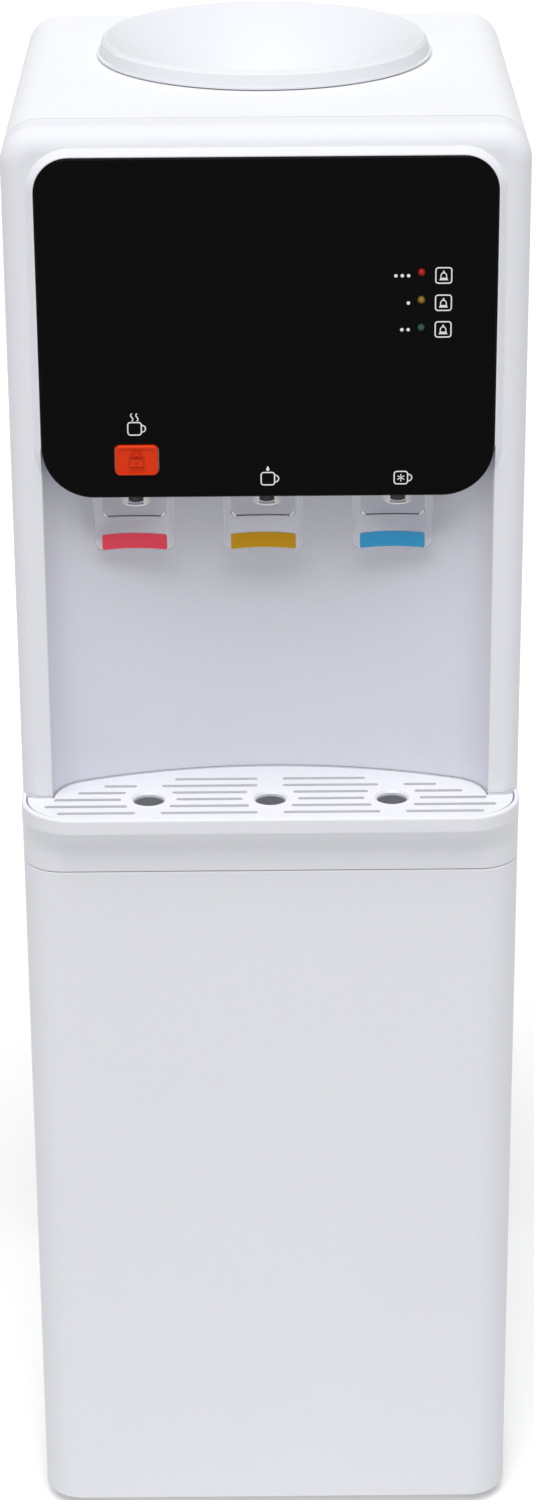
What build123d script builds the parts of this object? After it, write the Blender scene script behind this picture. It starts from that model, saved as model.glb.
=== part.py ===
from build123d import *
from math import cos, radians, sin, sqrt
import os

# Floor-standing water cooler with a bottle seat on top, a cup bay with three push taps,
# a drip tray and a compressor cooling unit. Millimetres, +Z up, front faces -Y.
# The origin is on the floor, under the middle of the outline.

os.makedirs("parts", exist_ok=True)

# Driving dimensions of the cabinet
body_width = 300.0
body_depth = 333.0
lip_reach = 11.0
upper_setback = 24.0
front_wrap = 52.0
foot_height = 8.0
seam_height = 453.0
tray_rise = 39.0
roof_height = 900.0
arch_radius = 21.0
upper_corner = 13.0
lower_corner = 24.5
lip_corner = 33.0
collar_setback = 216.0
collar_height = 8.0
seat_rim_height = 3.0

# Walls, sheets, seams and clearances
wall = 2.6
sheet = 1.0
seam_gap = 0.8
slip_gap = 0.4
face_gap = 0.1
pin_gap = 0.05
overrun = 5.0

# Places that several pieces share
half_width = body_width / 2
lip_y = -(body_depth + lip_reach) / 2
lower_y = lip_y + lip_reach
upper_y = lower_y + upper_setback
back_y = lower_y + body_depth
seam_y = lower_y + front_wrap
collar_y = lower_y + collar_setback
bottom_z = foot_height
seam_z = bottom_z + seam_height
tray_z = seam_z + tray_rise
roof_z = bottom_z + roof_height
rim_z = roof_z + collar_height + seat_rim_height
skirt_height = arch_radius + 5 * sheet
skirt_z = roof_z - skirt_height
front_rear_y = seam_y - seam_gap / 2
shell_front_y = seam_y + seam_gap / 2
inner_half = half_width - sheet


def write_step(piece, label):
    """Name a finished piece and write it as its own STEP file."""
    piece.part.label = label
    export_step(piece.part, f"parts/{label}.step")


def plane_at_y(y):
    """Plane whose local axes are world X and Z; a negative extrusion runs towards the back."""
    return Plane.XZ.offset(-y)


def plane_at_x(x):
    """Plane whose local axes are world Y and Z; a positive extrusion runs towards +X."""
    return Plane.YZ.offset(x)


def front_outline(half, front, rear, corner):
    """Plan of a front moulding: a block with its two front corners rounded."""
    with BuildSketch() as plan:
        with Locations((0, (front + rear) / 2)):
            Rectangle(2 * half, rear - front)
        fillet(plan.vertices().group_by(Axis.Y)[0], radius=corner)
    return plan.sketch


def spun(points, centre_y):
    """Face of a turned piece, from points of radius and height, standing at centre_y."""
    with BuildSketch(plane_at_y(centre_y)) as profile:
        with BuildLine():
            Polyline(*points, close=True)
        make_face()
    return profile.sketch


# Cup bay, in plan: a broad concave arc with tighter corners towards the columns
column_width = 18.5
bay_depth = 44.5
bay_corner_inset = 19.5
bay_corner_depth = 24.4
bay_turn_inset = 5.9
bay_turn_depth = 15.0
bay_mouth = 10.0
bay_half = half_width - column_width
bay_corner_reach = bay_half - bay_corner_inset
bay_turn_reach = bay_half - bay_turn_inset
bay_front_y = upper_y + wall
bay_back_y = upper_y + bay_depth
bay_mouth_y = upper_y - bay_mouth


def bay_outline(grow=0.0):
    """Plan of the cup bay, with a straight mouth in front of the fascia."""
    corner_y = upper_y + bay_corner_depth
    turn_y = upper_y + bay_turn_depth
    with BuildSketch() as plan:
        with BuildLine():
            ThreePointArc((-bay_corner_reach, corner_y), (0, bay_back_y), (bay_corner_reach, corner_y))
            ThreePointArc((bay_corner_reach, corner_y), (bay_turn_reach, turn_y), (bay_half, upper_y))
            Polyline((bay_half, upper_y), (bay_half, bay_mouth_y), (-bay_half, bay_mouth_y),
                     (-bay_half, upper_y))
            ThreePointArc((-bay_half, upper_y), (-bay_turn_reach, turn_y), (-bay_corner_reach, corner_y))
        make_face()
        if grow:
            offset(amount=grow)
    return plan.sketch


def column_footprint(gap):
    """Plan of both columns, where they stand on the tray housing."""
    column = half_width - bay_half + gap
    with BuildSketch() as plan:
        for side in (-1, 1):
            with BuildSketch(mode=Mode.ADD) as one:
                with Locations((side * (half_width - column / 2 + gap), upper_y - gap + front_wrap / 2)):
                    Rectangle(column + 2 * gap, front_wrap)
                outer = one.vertices().group_by(Axis.Y)[0].sort_by(Axis.X)[-1 if side > 0 else 0]
                fillet(outer, radius=upper_corner + gap)
    return plan.sketch


def tray_outline(gap):
    """Plan of what lies in the housing's mouth, drawn in from the housing by gap."""
    with BuildSketch() as plan:
        add(front_outline(half_width - wall - gap, lip_y + wall + gap, upper_y + upper_corner - gap,
                          lip_corner - wall - gap))
        add(column_footprint(seam_gap / 2 + gap), mode=Mode.SUBTRACT)
        with Locations((0, upper_y + front_wrap / 2)):
            Rectangle(2 * bay_half, front_wrap, mode=Mode.SUBTRACT)
        add(bay_outline(-gap))
    return plan.sketch


def basin_outline(gap):
    """Plan of the tray's basin below the ledge, drawn in from the housing by gap."""
    with BuildSketch() as plan:
        add(front_outline(half_width - 3 * wall - gap, lower_y + wall + gap, seam_y,
                          lower_corner - wall - gap))
        with Locations((0, upper_y - seam_gap - gap + front_wrap)):
            Rectangle(body_width, 2 * front_wrap, mode=Mode.SUBTRACT)
        add(bay_outline(-wall - gap))
    return plan.sketch


# Lower front panel: moulded shell, open at the back and below
with BuildPart() as lower_front_panel:
    panel_top_z = seam_z - seam_gap / 2
    with BuildSketch(Plane.XY.offset(bottom_z)):
        add(front_outline(half_width, lower_y, front_rear_y, lower_corner))
    extrude(amount=panel_top_z - bottom_z)
    fillet(lower_front_panel.faces().sort_by(Axis.Z)[-1].edges().sort_by(Axis.Y)[:-1], radius=sheet)
    with BuildSketch(Plane.XY.offset(bottom_z - overrun)):
        add(front_outline(half_width - wall, lower_y + wall, front_rear_y + overrun, lower_corner - wall))
    extrude(amount=panel_top_z - wall - bottom_z + overrun, mode=Mode.SUBTRACT)
    panel_rib_depth = 9.0
    panel_rib_spacing = 86.0
    with BuildSketch(Plane.XY.offset(bottom_z + 3 * panel_rib_depth)):
        with Locations((0, lower_y + wall + panel_rib_depth / 2)):
            with GridLocations(panel_rib_spacing, panel_rib_spacing, 3, 1):
                Rectangle(wall, panel_rib_depth)
    extrude(until=Until.NEXT)
write_step(lower_front_panel, "lower_front_panel")

# Tray housing: middle moulding with a finger lip above a cove, and a basin for the tray
cove_start = 13.0
lip_start = 30.0
basin_floor_height = 9.0
cove_shares = ((0, 0), (0.18, 0.07), (0.36, 0.19), (0.53, 0.37), (0.7, 0.62), (0.86, 0.88), (1, 1))
housing_bottom_z = seam_z + seam_gap / 2
cove_z = seam_z + cove_start
lip_bottom_z = seam_z + lip_start
basin_floor_z = seam_z + basin_floor_height
tray_seat_z = lip_bottom_z + wall / 2
back_web = wall

with BuildPart() as tray_housing:
    with BuildSketch(Plane.XY.offset(housing_bottom_z)):
        add(front_outline(half_width, lower_y, front_rear_y, lower_corner))
    extrude(amount=cove_z - housing_bottom_z)
    for height_share, reach_share in cove_shares:
        with BuildSketch(Plane.XY.offset(cove_z + height_share * (lip_bottom_z - cove_z))):
            add(front_outline(half_width, lower_y - reach_share * lip_reach, front_rear_y,
                              lower_corner + reach_share * (lip_corner - lower_corner)))
    loft()
    with BuildSketch(Plane.XY.offset(lip_bottom_z)):
        add(front_outline(half_width, lip_y, front_rear_y, lip_corner))
    extrude(amount=tray_z - lip_bottom_z)
    fillet(tray_housing.faces().sort_by(Axis.Z)[-1].edges().sort_by(Axis.Y)[:-1], radius=1.5 * sheet)
    with BuildSketch(Plane.XY.offset(basin_floor_z - wall)):
        add(bay_outline(back_web + slip_gap))
    extrude(amount=tray_z - basin_floor_z + wall)
    with BuildSketch(Plane.XY.offset(tray_seat_z)):
        add(tray_outline(0))
    extrude(amount=tray_z, mode=Mode.SUBTRACT)
    with BuildSketch(Plane.XY.offset(basin_floor_z)):
        add(basin_outline(0))
    extrude(amount=tray_z, mode=Mode.SUBTRACT)
    with BuildSketch(Plane.XY.offset(housing_bottom_z - overrun)):
        add(front_outline(half_width - wall, lower_y + wall, front_rear_y + overrun, lower_corner - wall))
    extrude(amount=basin_floor_z - wall - housing_bottom_z + overrun, mode=Mode.SUBTRACT)
    split(bisect_by=Plane.XZ.offset(-(bay_back_y + 2 * back_web)), keep=Keep.TOP)
write_step(tray_housing, "tray_housing")

# Drip tray: basin with a rim that rests on the ledge of the housing
tray_wall = 1.8
rim_thickness = 1.8
rim_top_z = tray_seat_z + rim_thickness

with BuildPart() as drip_tray:
    with BuildSketch(Plane.XY.offset(tray_seat_z)):
        add(tray_outline(2 * slip_gap))
    extrude(amount=rim_thickness)
    with BuildSketch(Plane.XY.offset(basin_floor_z + slip_gap)):
        add(basin_outline(2 * slip_gap))
    extrude(amount=tray_seat_z - basin_floor_z - slip_gap)
    with BuildSketch(Plane.XY.offset(basin_floor_z + slip_gap + tray_wall)):
        add(basin_outline(2 * slip_gap + tray_wall))
    extrude(amount=tray_z, mode=Mode.SUBTRACT)
write_step(drip_tray, "drip_tray")

# Drip grille: slotted plate with a skirt, three round holes under the spouts
grille_top_z = tray_z - face_gap
grille_plate = 3.0
grille_gap = 1.0
slot_width = 3.5
slot_pitch = 9.8
first_slot_depth = 24.7
hole_spacing = 73.3
hole_radius = 9.2
hole_forward = 0.9
hole_chamfer = 1.2
keep_out_radius = 16.6
centre_rib = 7.6
slot_end_shares = (0.393, 0.684, 0.789, 0.885, 0.92, 0.867)
slot_ends = [share * (half_width - wall) for share in slot_end_shares]
slot_rows = [upper_y + first_slot_depth - slot_pitch * row for row in range(len(slot_ends))]
hole_y = slot_rows[3] + hole_forward


def slot_spans(row_y, end):
    """Stretches of one side of a slot row, kept clear of the round holes."""
    reach = sqrt(max(keep_out_radius ** 2 - (row_y - hole_y) ** 2, centre_rib ** 2))
    spans = [(reach, min(hole_spacing - reach, end))]
    if end > hole_spacing + reach + slot_width:
        spans.append((hole_spacing + reach, end))
    return spans


with BuildPart() as drip_grille:
    with BuildSketch(Plane.XY.offset(rim_top_z + face_gap)):
        add(tray_outline(grille_gap))
    extrude(amount=grille_top_z - rim_top_z - face_gap)
    fillet(drip_grille.faces().sort_by(Axis.Z)[-1].edges(), radius=sheet / 2)
    with BuildSketch(Plane.XY.offset(rim_top_z - overrun)):
        add(tray_outline(grille_gap + tray_wall))
    extrude(amount=grille_top_z - grille_plate - rim_top_z + overrun, mode=Mode.SUBTRACT)
    with BuildSketch(Plane.XY.offset(grille_top_z + overrun)):
        for row_y, end in zip(slot_rows, slot_ends):
            for inner, outer in slot_spans(row_y, end):
                for side in (-1, 1):
                    with Locations((side * (inner + outer) / 2, row_y)):
                        SlotOverall(outer - inner, slot_width)
    extrude(amount=-2 * (overrun + grille_plate), mode=Mode.SUBTRACT)
    with Locations((0, hole_y, grille_top_z)):
        with GridLocations(hole_spacing, hole_spacing, 3, 1):
            CounterSinkHole(radius=hole_radius, counter_sink_radius=hole_radius + hole_chamfer,
                            depth=3 * grille_plate)
write_step(drip_grille, "drip_grille")

# Front fascia: columns and the plate behind the control panel, one moulding
panel_margin = 19.25
panel_width = body_width - 2 * panel_margin
panel_height = 200.5
panel_bottom_height = 684.4
panel_thickness = 4.5
panel_recess = 0.8
panel_top_corner = 20.0
panel_bottom_corner = 30.0
panel_bevel = 0.8
surround_width = 4.6
surround_bevel = 3.6
surround_setback = 0.5
panel_z = bottom_z + panel_bottom_height + panel_height / 2
panel_ledge = 1.5 * wall
window_corner_z = panel_z - panel_height / 2 + panel_bottom_corner
fascia_bottom_z = tray_z + slip_gap
button_width = 25.0
button_height = 18.0
button_x = -76.0
button_centre_height = 707.7
button_z = bottom_z + button_centre_height
button_gap = 0.4
lamp_radius = 2.5
lamp_x = 87.6
lamp_top_height = 818.0
lamp_top_z = bottom_z + lamp_top_height
lamp_pitch = 16.2
board_width = 60.0
board_height = 62.0
board_post = 3.0
board_post_length = 5.4


def panel_outline(grow):
    """Outline of the control panel, with larger corners at the bottom."""
    with BuildSketch() as face:
        with Locations((0, panel_z)):
            Rectangle(panel_width + 2 * grow, panel_height + 2 * grow)
        fillet(face.vertices().group_by(Axis.Y)[-1], radius=panel_top_corner + grow)
        fillet(face.vertices().group_by(Axis.Y)[0], radius=panel_bottom_corner + grow)
    return face.sketch


def button_outline(grow):
    """Outline of the child-lock button."""
    with BuildSketch() as face:
        with Locations((button_x, button_z)):
            RectangleRounded(button_width + 2 * grow, button_height + 2 * grow, 3 * sheet + grow)
    return face.sketch


def lamp_outline(radius):
    """Circles at the three indicator lamps."""
    with BuildSketch() as face:
        with Locations([(lamp_x, lamp_top_z - lamp_pitch * row) for row in range(3)]):
            Circle(radius)
    return face.sketch


with BuildPart() as front_fascia:
    with BuildSketch(plane_at_y(upper_y)) as arch:
        with Locations((0, (fascia_bottom_z + roof_z) / 2)):
            Rectangle(body_width, roof_z - fascia_bottom_z)
        fillet(arch.vertices().group_by(Axis.Y)[-1], radius=arch_radius)
    extrude(amount=-(front_rear_y - upper_y))
    front_edges = front_fascia.faces().sort_by(Axis.Y)[0].edges().sort_by(Axis.Z)[1:]
    fillet(front_edges, radius=upper_corner)
    rear_face = front_fascia.faces().sort_by(Axis.Y)[-1]
    lower_face = front_fascia.faces().sort_by(Axis.Z)[0]
    offset(amount=-wall, openings=[rear_face, lower_face])
    with BuildSketch(plane_at_y(upper_y + wall / 2)):
        add(panel_outline(surround_width))
    extrude(amount=wall / 2 + panel_thickness - surround_setback)
    chamfer(front_fascia.faces().sort_by(Axis.Y)[0].edges(), length=surround_bevel)
    with BuildSketch(plane_at_y(upper_y - overrun)):
        with Locations((0, (fascia_bottom_z + window_corner_z) / 2)):
            Rectangle(2 * bay_half, window_corner_z - fascia_bottom_z)
        with Locations((0, fascia_bottom_z)):
            Rectangle(2 * bay_half, 2 * overrun)
        add(panel_outline(-panel_ledge), mode=Mode.SUBTRACT)
    extrude(amount=-(2 * overrun + wall), mode=Mode.SUBTRACT)
    with BuildSketch(plane_at_y(upper_y - overrun)):
        add(panel_outline(slip_gap))
    extrude(amount=-(overrun + panel_recess), mode=Mode.SUBTRACT)
    with BuildSketch(plane_at_y(upper_y + wall)):
        with Locations((lamp_x, lamp_top_z - lamp_pitch)):
            with GridLocations(board_width - 3 * board_post, board_height - 3 * board_post, 2, 2):
                Circle(board_post)
    extrude(amount=-board_post_length)
    with BuildSketch(plane_at_y(upper_y - overrun)):
        add(button_outline(button_gap))
        add(lamp_outline(lamp_radius + slip_gap))
    extrude(amount=-(2 * overrun + wall), mode=Mode.SUBTRACT)
write_step(front_fascia, "front_fascia")

# Control panel: gloss black plate set into the fascia, with a bevelled edge
panel_face_y = upper_y - panel_thickness

with BuildPart() as control_panel:
    with BuildSketch(plane_at_y(panel_face_y)):
        add(panel_outline(0))
    extrude(amount=-(panel_thickness + panel_recess))
    chamfer(control_panel.faces().sort_by(Axis.Y)[0].edges(), length=panel_bevel)
    with BuildSketch(plane_at_y(panel_face_y - overrun)):
        add(button_outline(button_gap))
        add(lamp_outline(lamp_radius + slip_gap / 2))
    extrude(amount=-(3 * overrun), mode=Mode.SUBTRACT)
write_step(control_panel, "control_panel")

# Indicator lamps: domed lenses that stand on the circuit board
board_front_y = upper_y + wall + board_post_length
board_thickness = 1.6
dome_reach = 1.3

for row, label in enumerate(("lamp_hot", "lamp_cold", "lamp_warm")):
    with BuildPart() as lamp:
        with BuildSketch(plane_at_y(board_front_y)):
            with Locations((lamp_x, lamp_top_z - lamp_pitch * row)):
                Circle(lamp_radius)
        extrude(amount=board_front_y - panel_face_y + dome_reach)
        fillet(lamp.faces().sort_by(Axis.Y)[0].edges(), radius=dome_reach + slip_gap)
    write_step(lamp, label)

with BuildPart() as circuit_board:
    with BuildSketch(plane_at_y(board_front_y)):
        with Locations((lamp_x, lamp_top_z - lamp_pitch)):
            Rectangle(board_width, board_height)
    extrude(amount=-board_thickness)
    with BuildSketch(plane_at_y(board_front_y + board_thickness)):
        with Locations((lamp_x, lamp_top_z - lamp_pitch)):
            with GridLocations(board_width / 3, board_height / 3, 2, 2):
                Rectangle(board_width / 6, board_height / 6)
    extrude(amount=-3 * board_thickness)
write_step(circuit_board, "circuit_board")

# Child-lock button: moulded cap with a raised rim, a padlock sign and a guide stem
button_travel = 3.0
button_proud = 2.2
button_rim = 1.6
sign_depth = 0.8
lock_width = 7.0
lock_height = 5.4
shackle_radius = 2.4
shackle_bar = 1.0
button_face_y = panel_face_y - button_proud
button_back_y = upper_y

with BuildPart() as lock_button:
    with BuildSketch(plane_at_y(button_face_y)):
        add(button_outline(0))
    extrude(amount=-(button_back_y - button_face_y))
    fillet(lock_button.faces().sort_by(Axis.Y)[0].edges(), radius=sheet)
    with BuildSketch(plane_at_y(button_face_y - overrun)):
        add(button_outline(-button_rim))
    extrude(amount=-(overrun + sign_depth), mode=Mode.SUBTRACT)
    with BuildSketch(plane_at_y(button_face_y + sign_depth)):
        with Locations((button_x, button_z + lock_height / 2 - shackle_bar)):
            Circle(shackle_radius)
            Circle(shackle_radius - shackle_bar, mode=Mode.SUBTRACT)
        with Locations((button_x, button_z - shackle_bar)):
            Rectangle(lock_width, lock_height)
    extrude(amount=sign_depth * 3 / 4)
    with BuildSketch(plane_at_y(button_back_y)):
        with Locations((button_x, button_z + button_height / 4)):
            Rectangle(button_width / 3, button_height / 3)
    extrude(amount=-3 * button_travel)
write_step(lock_button, "lock_button")

# Bay liner: concave back wall and ceiling of the cup bay, flanged to the fascia
liner_wall = 2.4
liner_top_height = 724.0
liner_flange = 5.0
liner_top_z = bottom_z + liner_top_height
tap_pitch = 76.7
tap_row_shift = -0.8
tap_xs = [tap_row_shift + tap_pitch * place for place in (-1, 0, 1)]
tap_names = ("hot", "warm", "cold")
inlet_height = 689.2
inlet_radius = 6.0
inlet_z = bottom_z + inlet_height


def liner_front_cut():
    """Everything in front of the fascia's inner face, to be cut from the liner."""
    with BuildSketch() as plan:
        with Locations((0, bay_front_y + face_gap - front_wrap / 2)):
            Rectangle(body_width, front_wrap)
    return plan.sketch


with BuildPart() as bay_liner:
    with BuildSketch(Plane.XY.offset(fascia_bottom_z)):
        add(bay_outline(liner_wall))
        for side in (-1, 1):
            with Locations((side * (bay_half + liner_flange / 2), bay_front_y + face_gap + liner_wall / 2)):
                Rectangle(liner_flange, liner_wall)
        add(bay_outline(), mode=Mode.SUBTRACT)
        add(liner_front_cut(), mode=Mode.SUBTRACT)
    extrude(amount=liner_top_z - fascia_bottom_z)
    with BuildSketch(Plane.XY.offset(liner_top_z)):
        add(bay_outline(liner_wall))
        add(liner_front_cut(), mode=Mode.SUBTRACT)
    extrude(amount=liner_wall)
    with BuildSketch(plane_at_y(bay_front_y)):
        with Locations([(tap_x, inlet_z) for tap_x in tap_xs]):
            Circle(inlet_radius + slip_gap)
    extrude(amount=-2 * bay_depth, mode=Mode.SUBTRACT)
write_step(bay_liner, "bay_liner")

# Taps: white body with the spout below, a bonnet on top and the inlet through the liner
tap_setback = 21.0
spout_radius = 8.85
spout_forward = 6.0
spout_bottom_height = 675.0
chamber_radius = 10.0
chamber_height = 22.0
valve_seat_height = 11.5
valve_bore = 6.5
shroud_wall = 2.0
window_rise = 1.3
window_width = 9.2
nozzle_radius = 4.4
nozzle_bore = 3.2
nozzle_seat = 2.0
port_height = 1.8
seat_web = 1.2
pivot_forward = 12.0
pivot_height = 17.8
pin_radius = 1.5
boss_radius = 3.5
boss_length = 18.0
bonnet_height = 5.0
inlet_bore = 3.5
inlet_thread = 17.0
nut_thickness = 5.0
nut_radius = 10.0
barb_length = 11.0
tap_y = upper_y + tap_setback
spout_y = tap_y - spout_forward
spout_z = bottom_z + spout_bottom_height
chamber_z = spout_z + valve_seat_height - 2 * wall
chamber_top_z = spout_z + chamber_height
valve_seat_z = spout_z + valve_seat_height
nozzle_top_z = valve_seat_z - seat_web - port_height
pivot_y = tap_y - pivot_forward
pivot_z = spout_z + pivot_height
bonnet_top_z = chamber_top_z + bonnet_height
liner_back_y = bay_back_y + liner_wall

for tap_x, tap_name in zip(tap_xs, tap_names):
    tap_wall_y = bay_back_y + liner_wall - (0 if tap_name == "warm" else bay_depth / 5)
    with BuildPart() as tap_body:
        with Locations((tap_x, spout_y, spout_z)):
            Cylinder(spout_radius, chamber_height, align=(Align.CENTER, Align.CENTER, Align.MIN))
        with Locations((tap_x, tap_y, chamber_z)):
            Cylinder(chamber_radius, chamber_top_z - chamber_z, align=(Align.CENTER, Align.CENTER, Align.MIN))
        with BuildSketch(plane_at_x(tap_x - boss_length / 2)):
            with Locations((pivot_y, pivot_z)):
                Circle(boss_radius)
        extrude(amount=boss_length)
        with BuildSketch(plane_at_y(tap_y)):
            with Locations((tap_x, inlet_z)):
                Circle(inlet_radius)
        extrude(amount=-(tap_wall_y - tap_y + inlet_thread))
        fillet(tap_body.faces().sort_by(Axis.Z)[0].edges(), radius=sheet)
        with Locations((tap_x, tap_y, valve_seat_z)):
            Cylinder(valve_bore, chamber_height, align=(Align.CENTER, Align.CENTER, Align.MIN),
                     mode=Mode.SUBTRACT)
        with BuildSketch(Plane.XY.offset(spout_z - overrun)):
            with Locations((tap_x, spout_y)):
                Circle(spout_radius - shroud_wall)
        extrude(amount=overrun + nozzle_top_z - nozzle_seat - spout_z, mode=Mode.SUBTRACT)
        with BuildSketch(Plane.XY.offset(spout_z)):
            with Locations((tap_x, spout_y)):
                Circle(nozzle_radius + pin_gap)
        extrude(amount=nozzle_top_z - spout_z, mode=Mode.SUBTRACT)
        with BuildSketch(Plane.XY.offset(nozzle_top_z)):
            with Locations((tap_x, (spout_y + tap_y) / 2)):
                SlotOverall(spout_forward + 2 * nozzle_bore, 2 * nozzle_bore, rotation=90)
        extrude(amount=port_height, mode=Mode.SUBTRACT)
        with BuildSketch(Plane.XY.offset(nozzle_top_z)):
            with Locations((tap_x, tap_y)):
                Circle(nozzle_bore)
        extrude(amount=2 * (valve_seat_z - nozzle_top_z), mode=Mode.SUBTRACT)
        with BuildSketch(plane_at_y(spout_y)):
            with Locations((tap_x, (spout_z + window_rise + nozzle_top_z - nozzle_seat) / 2)):
                Rectangle(window_width, nozzle_top_z - nozzle_seat - spout_z - window_rise)
        extrude(amount=2 * spout_radius, mode=Mode.SUBTRACT)
        with BuildSketch(plane_at_y(tap_y + inlet_radius)):
            with Locations((tap_x, inlet_z)):
                Circle(inlet_bore)
        extrude(amount=-2 * bay_depth, mode=Mode.SUBTRACT)
        with BuildSketch(plane_at_x(tap_x - boss_length)):
            with Locations((pivot_y, pivot_z)):
                Circle(pin_radius)
        extrude(amount=2 * boss_length, mode=Mode.SUBTRACT)
    write_step(tap_body, f"tap_body_{tap_name}")

    # Valve stem: plug on the seat, rod through the bonnet, head above the lever's fork
    plug_height = 4.5
    plug_radius = 5.4
    rod_radius = 2.0
    head_radius = 4.5
    head_height = 2.0
    fork_thickness = 1.8
    fork_gap = 0.9
    fork_z = bonnet_top_z + fork_gap
    head_z = fork_z + fork_thickness + 1.5 * slip_gap
    with BuildPart() as valve_stem:
        with Locations((tap_x, tap_y, valve_seat_z + face_gap)):
            Cylinder(plug_radius, plug_height, align=(Align.CENTER, Align.CENTER, Align.MIN))
            Cylinder(rod_radius, head_z - valve_seat_z, align=(Align.CENTER, Align.CENTER, Align.MIN))
        with Locations((tap_x, tap_y, head_z)):
            Cylinder(head_radius, head_height, align=(Align.CENTER, Align.CENTER, Align.MIN))
        fillet(valve_stem.faces().sort_by(Axis.Z)[-1].edges(), radius=sheet / 2)
    write_step(valve_stem, f"valve_stem_{tap_name}")

# Nozzles: dark tubes in the white spouts, seen through the window at the front
with BuildPart() as spout_nozzles:
    with BuildSketch(Plane.XY.offset(spout_z + window_rise)):
        with Locations([(tap_x, spout_y) for tap_x in tap_xs]):
            Circle(nozzle_radius)
            Circle(nozzle_bore, mode=Mode.SUBTRACT)
    extrude(amount=nozzle_top_z - spout_z - window_rise)
write_step(spout_nozzles, "spout_nozzles")

# Return springs between the plugs and the bonnets, plain sleeves of the coils' size
spring_outer = 5.2
spring_wire = 0.9
spring_travel = 2.8
spring_foot_z = valve_seat_z + plug_height + spring_travel

with BuildPart() as valve_springs:
    with BuildSketch(Plane.XY.offset(spring_foot_z)):
        with Locations([(tap_x, tap_y) for tap_x in tap_xs]):
            Circle(spring_outer)
            Circle(spring_outer - spring_wire, mode=Mode.SUBTRACT)
    extrude(amount=chamber_top_z - spring_foot_z - face_gap)
write_step(valve_springs, "valve_springs")

# Bonnets: screwed lids of the valve chambers
with BuildPart() as tap_bonnets:
    with Locations([(tap_x, tap_y, chamber_top_z) for tap_x in tap_xs]):
        Cylinder(chamber_radius, bonnet_height, align=(Align.CENTER, Align.CENTER, Align.MIN))
    fillet(tap_bonnets.faces().group_by(Axis.Z)[-1].edges(), radius=sheet)
    with Locations([(tap_x, tap_y, chamber_top_z - overrun) for tap_x in tap_xs]):
        Cylinder(rod_radius + pin_gap, 2 * chamber_height,
                 align=(Align.CENTER, Align.CENTER, Align.MIN), mode=Mode.SUBTRACT)
write_step(tap_bonnets, "tap_bonnets")

# Nuts that clamp the tap inlets to the liner
with BuildPart() as tap_nuts:
    for tap_x, tap_name in zip(tap_xs, tap_names):
        nut_y = liner_back_y + slip_gap - (0 if tap_name == "warm" else bay_depth / 10)
        with BuildSketch(plane_at_y(nut_y)):
            with Locations((tap_x, inlet_z)):
                RegularPolygon(nut_radius, 6)
                Circle(inlet_radius + face_gap, mode=Mode.SUBTRACT)
        extrude(amount=-nut_thickness)
write_step(tap_nuts, "tap_nuts")

# Steel pins that the levers swing on
lever_half = 24.2
lever_foot_half = 23.0
cheek_thickness = 2.0
cheek_x = lever_foot_half - cheek_thickness / 2 - slip_gap
plate_shift_shares = (0.020, 0.029, 0.036)
plate_xs = [tap_x - share * tap_pitch for tap_x, share in zip(tap_xs, plate_shift_shares)]

with BuildPart() as lever_pins:
    for plate_x in plate_xs:
        with BuildSketch(plane_at_x(plate_x - cheek_x - cheek_thickness)):
            with Locations((pivot_y, pivot_z)):
                Circle(pin_radius - pin_gap / 2)
        extrude(amount=2 * (cheek_x + cheek_thickness))
write_step(lever_pins, "lever_pins")

# Push levers: clear mouldings behind the spouts, with a hollowed plate that is notched
# for the spout, two cheeks that run forward to the pin and a lifting fork
lever_foot_height = 642.9
lever_plate = 2.4
lever_setback = 2.0
lever_hollow = 2.0
lever_top_gap = 2.6
lever_corner = 5.0
ridge_height = 1.3
ridge_half = 18.8
ridge_rise = 21.3
ridge_turn = 2.6
ridge_proud = 1.1
fork_half = 6.0
bar_width = 38.2
bar_height = 10.2
bar_rise = 1.0
bar_arch = 0.8
bar_depth = 1.1
bar_proud = 0.3
bar_corner = 1.2
lever_foot_z = bottom_z + lever_foot_height
lever_face_y = spout_y + lever_setback
lever_top_z = pivot_z - boss_radius - lever_top_gap
fork_front_y = pivot_y - boss_radius
fork_rear_y = tap_y + 1.5 * rod_radius
fork_slot_y = tap_y - rod_radius - slip_gap
bar_z = lever_foot_z + bar_rise


def hollow_plate(plate_x, front, back, half):
    """Plan of a plate that is slightly hollow towards the front, centred at plate_x."""
    with BuildSketch() as plan:
        with BuildLine():
            ThreePointArc((plate_x - half, front), (plate_x, front + lever_hollow), (plate_x + half, front))
            Line((plate_x + half, front), (plate_x + half, back))
            ThreePointArc((plate_x + half, back), (plate_x, back + lever_hollow), (plate_x - half, back))
            Line((plate_x - half, back), (plate_x - half, front))
        make_face()
    return plan.sketch


def bar_outline(plate_x, grow):
    """Front outline of the inlaid bar, arched a little upwards."""
    half = bar_width / 2 + grow
    low = bar_z - grow
    high = bar_z + bar_height + grow
    with BuildSketch() as face:
        with BuildLine():
            ThreePointArc((plate_x - half, low), (plate_x, low + bar_arch), (plate_x + half, low))
            Line((plate_x + half, low), (plate_x + half, high - bar_arch))
            ThreePointArc((plate_x + half, high - bar_arch), (plate_x, high), (plate_x - half, high - bar_arch))
            Line((plate_x - half, high - bar_arch), (plate_x - half, low))
        make_face()
        fillet(face.vertices(), radius=bar_corner)
    return face.sketch


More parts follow.
